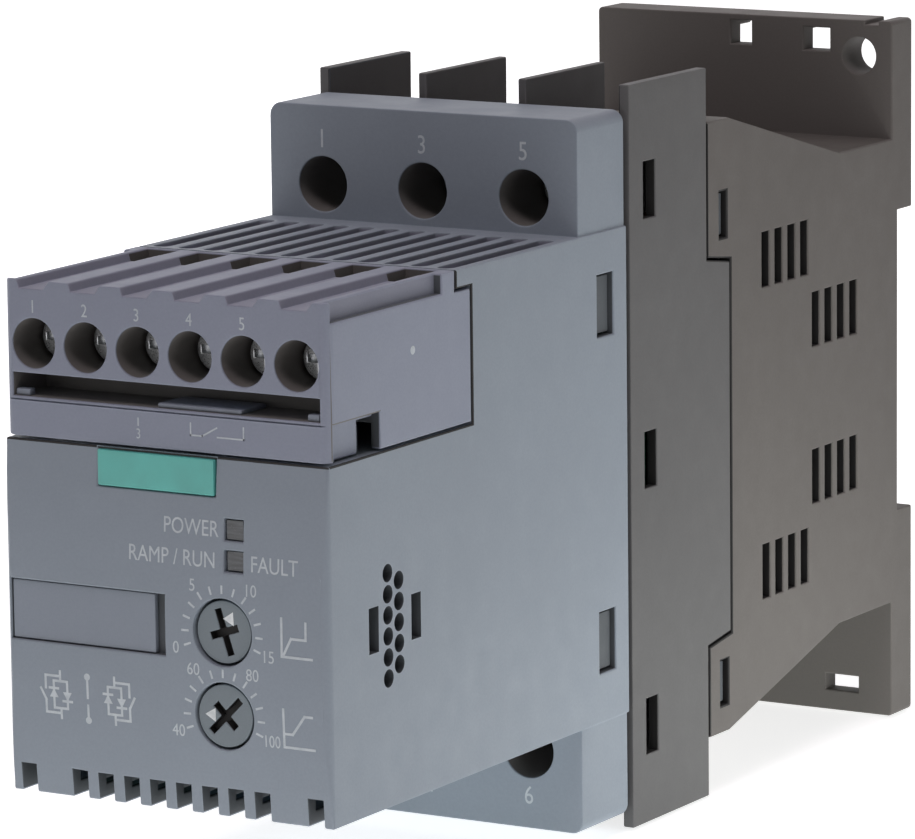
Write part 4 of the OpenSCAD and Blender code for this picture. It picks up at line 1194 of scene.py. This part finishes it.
@dataclass
class ControlBlock:
    """Pull-off control terminal block with its screws, clamps, contacts and print."""

    face: float = 1.0
    ease: float = 0.22
    screw_ease: float = 0.16
    clamp_ease: float = 0.1
    pitch: float = 7.3
    count: int = 6

    hole_height: float = 69.5
    hole_radius: float = 3.1
    hole_rim: float = 0.45
    hole_end: float = 12.0
    slot_heights: Pair = (62.5, 65.8)
    slot_lip: Zone = Zone(ANYWHERE, (-FAR, 1.6), (62.5, 62.95))
    # The zones below pick faces for painted shade.
    wire_pits: Zone = Zone((-FAR, 21.0), (15.0, 29.9), (72.5, 75.85))
    wire_grooves: Zone = Zone((-FAR, 21.2), (-FAR, 29.9), (75.85, 76.9))
    side_channel: Zone = Zone((21.3, 22.3), (1.9, 27.0), (74.5, 76.7))
    lip_underside: Zone = Zone((-FAR, 21.25), (8.6, 13.0), (-FAR, 62.6))

    # Middle across, width, depth and height of the two lugs and the tongue.
    fittings: tuple[Quad, ...] = ((-20.2, 2.0, 1.2, 0.8), (20.2, 1.6, 1.2, 0.8), (4.6, 11.6, 5.4, 0.55))
    fitting_floor: float = 63.1
    fitting_set_back: float = 0.5
    fitting_ease: float = 0.18

    pip_place: Point = (22.477, 20.0, 68.9)
    pip_radii: Pair = (0.62, 0.5)
    pip_rise: float = 0.07
    pip_ease: float = 0.03
    pip_sides: int = 24
    pip_edge: float = 0.6

    number_row: float = 73.9
    number_height: float = 1.5
    number_slim: float = 0.85
    strip_middle: float = 60.6
    strip_drop: float = 0.9
    strip_line: float = 0.18
    strip_number_height: float = 1.2

    def terminals(self) -> list[float]:
        """Places of the terminals across the block."""
        return [(k - (self.count - 1) / 2) * self.pitch for k in range(self.count)]

    def build(self, shop: Shop) -> None:
        """Builds and dresses the block and what it carries.

        Args:
            shop: Shop that makes the pieces.
        """
        # Besides the plain finish, painted shade for holes, pits, grooves and pockets.
        shop.eased("control_block", Look.BLOCK, self.ease, self.slot_lip.holds,
                   (Look.HOLE, Look.GROOVE, Look.DEEP), self.finish_of)
        for k in range(1, self.count + 1):
            shop.eased(f"control_screw_{k}", Look.STEEL, self.screw_ease)
            shop.eased(f"control_cage_{k}", Look.CLAMP, self.clamp_ease)
        shop.paint("control_contacts", Look.BRASS)
        shop.paint("control_header", Look.BLACK)
        self.slot_fittings(shop)
        self.side_pip(shop)
        self.print_numbers(shop)

    def finish_of(self, place: Vector, normal: Vector) -> Look:
        """Finish of a face of the block.

        Args:
            place: Middle of the face in millimetres.
            normal: Its normal.

        Returns:
            Painted shade for a hole wall, a wire groove or a deep wall, or the plain finish.
        """
        if self.driver_hole(place) or self.wire_pits.holds(place):
            return Look.HOLE
        if self.wire_grooves.holds(place) and abs(normal.y) < STEEP:
            return Look.GROOVE
        if self.side_channel.holds(place):
            return Look.GROOVE if abs(normal.x) > STEEP else Look.DEEP
        return Look.DEEP if self.lip_underside.holds(place) else Look.BLOCK

    def driver_hole(self, place: Vector) -> bool:
        """Whether a face is the wall of a screwdriver hole or lies deep in the marker slot.

        Args:
            place: Middle of the face in millimetres.

        Returns:
            True behind the front, and in the slot or inside a hole's radius.
        """
        if place.y < self.face + self.hole_rim or place.y > self.hole_end:
            return False
        if self.slot_heights[0] < place.z < self.slot_heights[1]:
            return True
        near = [math.hypot(place.x - x, place.z - self.hole_height) for x in self.terminals()]
        return min(near) < self.hole_radius

    def slot_fittings(self, shop: Shop) -> None:
        """Makes the two lugs and the tongue in the marker slot.

        Args:
            shop: Shop that makes the piece.
        """
        bm = bmesh.new()
        for across, width, deep, high in self.fittings:
            depth = self.face + self.fitting_set_back + deep / 2
            move = Matrix.Translation(at(across, depth, self.fitting_floor + high / 2))
            size = Matrix.Diagonal((width * MM, deep * MM, high * MM, 1))
            made = bmesh.ops.create_cube(bm, size=1.0, matrix=move @ size)
            ease_edges(bm, list({e for v in made["verts"] for e in v.link_edges}), self.fitting_ease)
        shop.piece("marker_slot_fittings", bm, Look.LABEL, "control_block")

    def side_pip(self, shop: Shop) -> None:
        """Makes the small moulded pip on the block's right side, in pale ink as a painted highlight.

        Args:
            shop: Shop that makes the piece.
        """
        bm = bmesh.new()
        turn = Matrix.Translation(at(*self.pip_place)) @ Matrix.Rotation(math.pi / 2, 4, "Y")
        foot, top = (radius * MM for radius in self.pip_radii)
        made = bmesh.ops.create_cone(bm, cap_ends=True, segments=self.pip_sides, radius1=foot,
                                     radius2=top, depth=self.pip_rise * MM, matrix=turn)
        edges = {e for v in made["verts"] for e in v.link_edges}
        ease_edges(bm, [e for e in edges if e.calc_face_angle(0.0) > self.pip_edge], self.pip_ease)
        # Pale ink stands for the light the pip catches: a painted highlight.
        shop.piece("side_pip", bm, Look.INK, "control_block")

    def print_numbers(self, shop: Shop) -> None:
        """Prints plain numbers over the screw holes and a switch mark on the strip.

        Args:
            shop: Shop that makes the piece.
        """
        sheet = PrintSheet(lambda height: self.face)
        places = self.terminals()
        for k, across in enumerate(places[:-1]):
            sheet.mark(str(k + 1), (across, self.number_row), self.number_height, self.number_slim)
        third, fourth, fifth = places[2:5]
        low = self.strip_middle - self.strip_drop
        wire, top = low + 0.6, low + 2
        hinge, tip, rest = (fourth + 1.6, wire), (fourth + 3.6, low + 1.7), (fourth + 3.7, wire)
        for points in ([(fourth, top), (fourth, wire), hinge], [hinge, tip],
                       [rest, (fifth, wire), (fifth, top)], [(third, low + 1.2), (third, top)]):
            sheet.stroke(points, self.strip_line)
        sheet.mark("3", (third, low + 0.2), self.strip_number_height, self.number_slim)
        sheet.lay(shop, "block_print", Look.INK, "control_block")


@dataclass
class PowerSection:
    """Middle frame with the power screws, clamps and busbars."""

    ease: float = 0.2
    metal_ease: float = 0.2
    clamp_ease: float = 0.18
    rows: tuple[str, str] = ("line", "load")
    # The zones below pick faces for painted shade and painted shadow.
    snap_tongues: Zone = Zone((21.0, 22.05))
    rear_joint: Zone = Zone(ANYWHERE, (92.3, FAR), (1.5, 93.5))
    snap_windows: Zone = Zone((20.0, 22.2), ANYWHERE, (1.5, 93.5))

    def build(self, shop: Shop) -> None:
        """Builds and dresses the frame and the power terminals.

        Args:
            shop: Shop that makes the pieces.
        """
        # Besides the plain finish, painted shadow for windows and joints and painted shade for the
        # tongues.
        shop.eased("middle_frame", Look.FRAME, self.ease, None, (Look.SHADOW_GAP, Look.DEEP),
                   self.finish_of)
        for row in self.rows:
            for k in (1, 2, 3):
                shop.eased(f"{row}_screw_{k}", Look.STEEL, self.metal_ease)
                shop.eased(f"{row}_cage_{k}", Look.CLAMP, self.clamp_ease)
                shop.eased(f"{row}_busbar_{k}", Look.COPPER, self.metal_ease)

    def finish_of(self, place: Vector, normal: Vector) -> Look:
        """Finish of a face of the frame.

        Args:
            place: Middle of the face in millimetres.
            normal: Its normal.

        Returns:
            Painted shade for a snap tongue, painted shadow for the wall of a window or joint, or the
            plain finish.
        """
        if self.snap_tongues.holds(place) and abs(normal.x) > STEEP:
            return Look.DEEP
        joint = self.rear_joint.holds(place) and Shop.rim(place, normal)
        window = self.snap_windows.holds(place) and abs(normal.x) < STEEP
        return Look.SHADOW_GAP if joint or window else Look.FRAME


@dataclass
class RearBase:
    """Rear base with its ears, the rail latch and its spring."""

    ease: float = 0.24
    latch_ease: float = 0.22
    latch_travel: float = 4.5
    spring_low: float = 10.05
    spring_high: float = 19.9
    spring_depth: float = 148.5
    spring_radius: float = 1.25
    spring_crease: float = 60.0
    wire_radius: float = 0.25
    wire_sides: int = 10
    turns: int = 6
    turn_steps: int = 28
    # The zones below pick faces for painted shadow and painted shade.
    front_joint: Zone = Zone(ANYWHERE, (-FAR, 99.5), (9.0, 86.0))
    side_slots: Zone = Zone((20.5, 22.2), (-FAR, 144.5))
    roof: Zone = Zone((-FAR, 20.0), (93.0, 145.0))
    roof_level: float = 0.9

    def build(self, shop: Shop) -> None:
        """Builds and dresses the base, the latch and the spring.

        Args:
            shop: Shop that makes the pieces.
        """
        # Besides the plain finish, painted shadow for slots and joints and painted shade for the roof.
        shop.eased("rear_base", Look.BASE, self.ease, None, (Look.SHADOW_GAP, Look.BASE_ROOF),
                   self.finish_of)
        shop.eased("rail_latch", Look.LATCH, self.latch_ease)
        self.spring(shop)

    def finish_of(self, place: Vector, normal: Vector) -> Look:
        """Finish of a face of the base.

        Args:
            place: Middle of the face in millimetres.
            normal: Its normal.

        Returns:
            Painted shadow for the wall of a slot or joint in the sides, painted shade for the roof, or
            the plain finish.
        """
        joint = self.front_joint.holds(place) and Shop.rim(place, normal) and abs(normal.z) < SQUARE
        if joint or (self.side_slots.holds(place) and abs(normal.x) < STEEP):
            return Look.SHADOW_GAP
        roof = self.roof.holds(place) and abs(normal.z) > self.roof_level
        return Look.BASE_ROOF if roof else Look.BASE

    def spring(self, shop: Shop) -> None:
        """Winds the coil spring that pushes the latch up.

        Args:
            shop: Shop that makes the piece.
        """
        bm = bmesh.new()
        start = at(self.spring_radius, self.spring_depth, self.spring_low + self.wire_radius)
        turn = Matrix.Translation(start) @ Matrix.Rotation(math.pi / 2, 4, "X")
        ring = bmesh.ops.create_circle(bm, cap_ends=True, segments=self.wire_sides,
                                       radius=self.wire_radius * MM, matrix=turn)
        steps = self.turn_steps * self.turns
        rise = (self.spring_high - self.spring_low - 2 * self.wire_radius) * MM / steps
        geom = ring["verts"] + bm.edges[:] + bm.faces[:]
        bmesh.ops.spin(bm, geom=geom, cent=at(0, self.spring_depth, 0), axis=(0, 0, 1),
                       dvec=(0, 0, rise), angle=2 * math.pi * self.turns, steps=steps)
        bmesh.ops.remove_doubles(bm, verts=bm.verts, dist=Shop.seam * MM)
        bmesh.ops.recalc_face_normals(bm, faces=bm.faces)
        piece = shop.piece("latch_spring_coil", bm, Look.SPRING, "housing", crease=self.spring_crease)
        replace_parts(piece, "latch_spring")
        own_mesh(piece)


@dataclass
class Insides:
    """Boards, relays, thyristor modules and heat sink behind the walls."""

    finishes: dict[str, Look] = field(default_factory=lambda: {
        "heat_sink": Look.SINK, "thyristor_left": Look.BLACK, "thyristor_right": Look.BLACK,
        "power_board": Look.BOARD, "main_board": Look.BOARD, "control_board": Look.BOARD,
        "bypass_relay_left": Look.BLACK, "bypass_relay_right": Look.BLACK,
        "ramp_trimmer": Look.TRIMMER, "voltage_trimmer": Look.TRIMMER,
        "heat_sink_screws": Look.STEEL, "board_screws": Look.STEEL})

    def build(self, shop: Shop) -> None:
        """Dresses the inner nodes."""
        for node, look in self.finishes.items():
            shop.paint(node, look)


@dataclass(frozen=True)
class Lamp:
    """Soft lamp that is not seen itself."""

    name: str
    place: Point
    aim: Point
    size: Pair
    power: float
    colour: Point = (1.0, 1.0, 1.0)

    def build(self) -> None:
        """Sets up the lamp."""
        light = bpy.data.lights.new(self.name, "AREA")
        light.shape = "RECTANGLE"
        light.size, light.size_y = self.size
        light.energy = self.power
        light.color = self.colour
        lamp = put(self.name, light)
        lamp.location = self.place
        way = Vector(self.aim) - Vector(self.place)
        lamp.rotation_euler = way.to_track_quat("-Z", "Y").to_euler()
        lamp.visible_camera = False


@dataclass
class Studio:
    """Pale floor, soft light and the camera at the photograph's angle."""

    lens: float = 242.96
    sensor: float = 36.0
    bearing: float = 30.69
    elevation: float = 9.94
    roll: float = -0.67
    place: Point = (0.3913, -0.6668, 0.1857)
    sky: float = 0.05
    floor_radius: float = 6.0
    floor_sides: int = 96
    floor_drop: float = 0.0004
    fibre_size: float = 3.0
    paper_dark: Colour = (0.78, 0.78, 0.78, 1.0)
    paper_pale: Colour = (0.82, 0.82, 0.82, 1.0)
    # Distance from the unit and strength, at the near and at the far end of each fall-off.
    glow: Quad = (0.05, 0.3, 0.72, 1.0)
    thrown: Quad = (0.10, 0.32, 1.02, 0.0)
    lamps: tuple[Lamp, ...] = (
        Lamp("side_lamp", (0.13, -0.02, 0.06), (0.0, -0.02, 0.06), (0.12, 0.04), 0.02, COOL_LIGHT),
        Lamp("low_lamp", (0.075, 0.04, 0.003), (0.0225, 0.04, 0.004), (0.07, 0.005), 0.016, COOL_LIGHT),
        Lamp("front_lamp", (-0.1, -0.7, 0.06), (0.0, 0.0, 0.03), (0.4, 0.1), 0.18),
        Lamp("front_top_lamp", (0.1, -0.5, 1.0), (0.0, -0.05, 0.08), (0.5, 0.3), 3.05, WARM_LIGHT),
        Lamp("top_lamp", (0.1, 0.1, 1.2), (0.0, 0.0, 0.05), (0.9, 0.9), 3.5, WARM_LIGHT),
        Lamp("far_lamp", (-0.7, 0.35, 0.1), (0.0, 0.0, 0.04), (0.5, 0.2), 3.0))

    def build(self) -> None:
        """Builds the whole studio."""
        scene = bpy.context.scene
        scene.view_settings.view_transform = "Standard"
        self.floor()
        self.world()
        for lamp in self.lamps:
            lamp.build()
        self.camera()

    def floor(self) -> None:
        """Lays the floor: pale paper that turns to plain white away from the unit."""
        bm = bmesh.new()
        below = Matrix.Translation((0, 0, -self.floor_drop))
        bmesh.ops.create_circle(bm, cap_ends=True, segments=self.floor_sides, radius=self.floor_radius,
                                matrix=below)
        mesh = bpy.data.meshes.new("floor")
        bm.to_mesh(mesh)
        bm.free()
        mesh.materials.append(self.paper(Graph("studio_paper")))
        floor = put("floor", mesh)

    def paper(self, graph: Graph) -> bpy.types.Material:
        """Wires the paper's nodes.

        Args:
            graph: Graph of the floor's material.

        Returns:
            The wired material.
        """
        fibre = graph.cloud(self.fibre_size, 4.0)
        base = graph.mix(graph.spread(fibre, 0.3, 0.7), self.paper_dark, self.paper_pale)
        reach = graph.add("ShaderNodeVectorMath", {0: graph.place})
        reach.operation = "LENGTH"
        glow = graph.spread(reach.outputs["Value"], *self.glow)
        thrown = graph.spread(reach.outputs["Value"], *self.thrown)
        seen = graph.seen()
        strength = graph.blend(seen, thrown, glow)
        tint = graph.mix(seen, (*COOL_LIGHT, 1.0), WHITE)
        return graph.finish(Base_Color=base, Roughness=0.9, Specular_IOR_Level=0.0, Emission_Color=tint,
                            Emission_Strength=strength)

    def world(self) -> None:
        """Wires the sky: white where it is seen, softer where it lights."""
        world = bpy.data.worlds.new("studio")
        bpy.context.scene.world = world
        sky = Tree(world)
        level = sky.add("ShaderNodeMapRange", {"Value": sky.seen(), "To Min": self.sky, "To Max": 1.0})
        background = sky.tree.nodes["Background"]
        sky.feed(background, "Color", WHITE)
        sky.feed(background, "Strength", level.outputs["Result"])

    def camera(self) -> None:
        """Sets up the camera."""
        turn, lift, roll = (math.radians(d) for d in (self.bearing, self.elevation, self.roll))
        out = math.cos(lift)
        back = Vector((math.sin(turn) * out, -math.cos(turn) * out, math.sin(lift)))
        level = Vector((math.cos(turn), math.sin(turn), 0))
        rise = back.cross(level)
        right = level * math.cos(roll) + rise * math.sin(roll)
        up = rise * math.cos(roll) - level * math.sin(roll)
        data = bpy.data.cameras.new("camera")
        data.lens = self.lens
        data.sensor_width = self.sensor
        camera = put("camera", data)
        facing = Matrix((right, up, back)).transposed().to_4x4()
        camera.matrix_world = Matrix.Translation(self.place) @ facing
        bpy.context.scene.camera = camera


def main() -> None:
    """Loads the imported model, dresses it and lights it."""
    logging.basicConfig(level=logging.INFO, format="%(message)s")
    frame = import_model()
    shop = Shop(frame)
    Studio().build()
    for section in (FrontPanel(), SettingKnobs(), ControlBlock(), PowerSection(), RearBase(), Insides()):
        section.build(shop)
        log.info("section %s done", type(section).__name__)


if __name__ == "__main__":
    main()
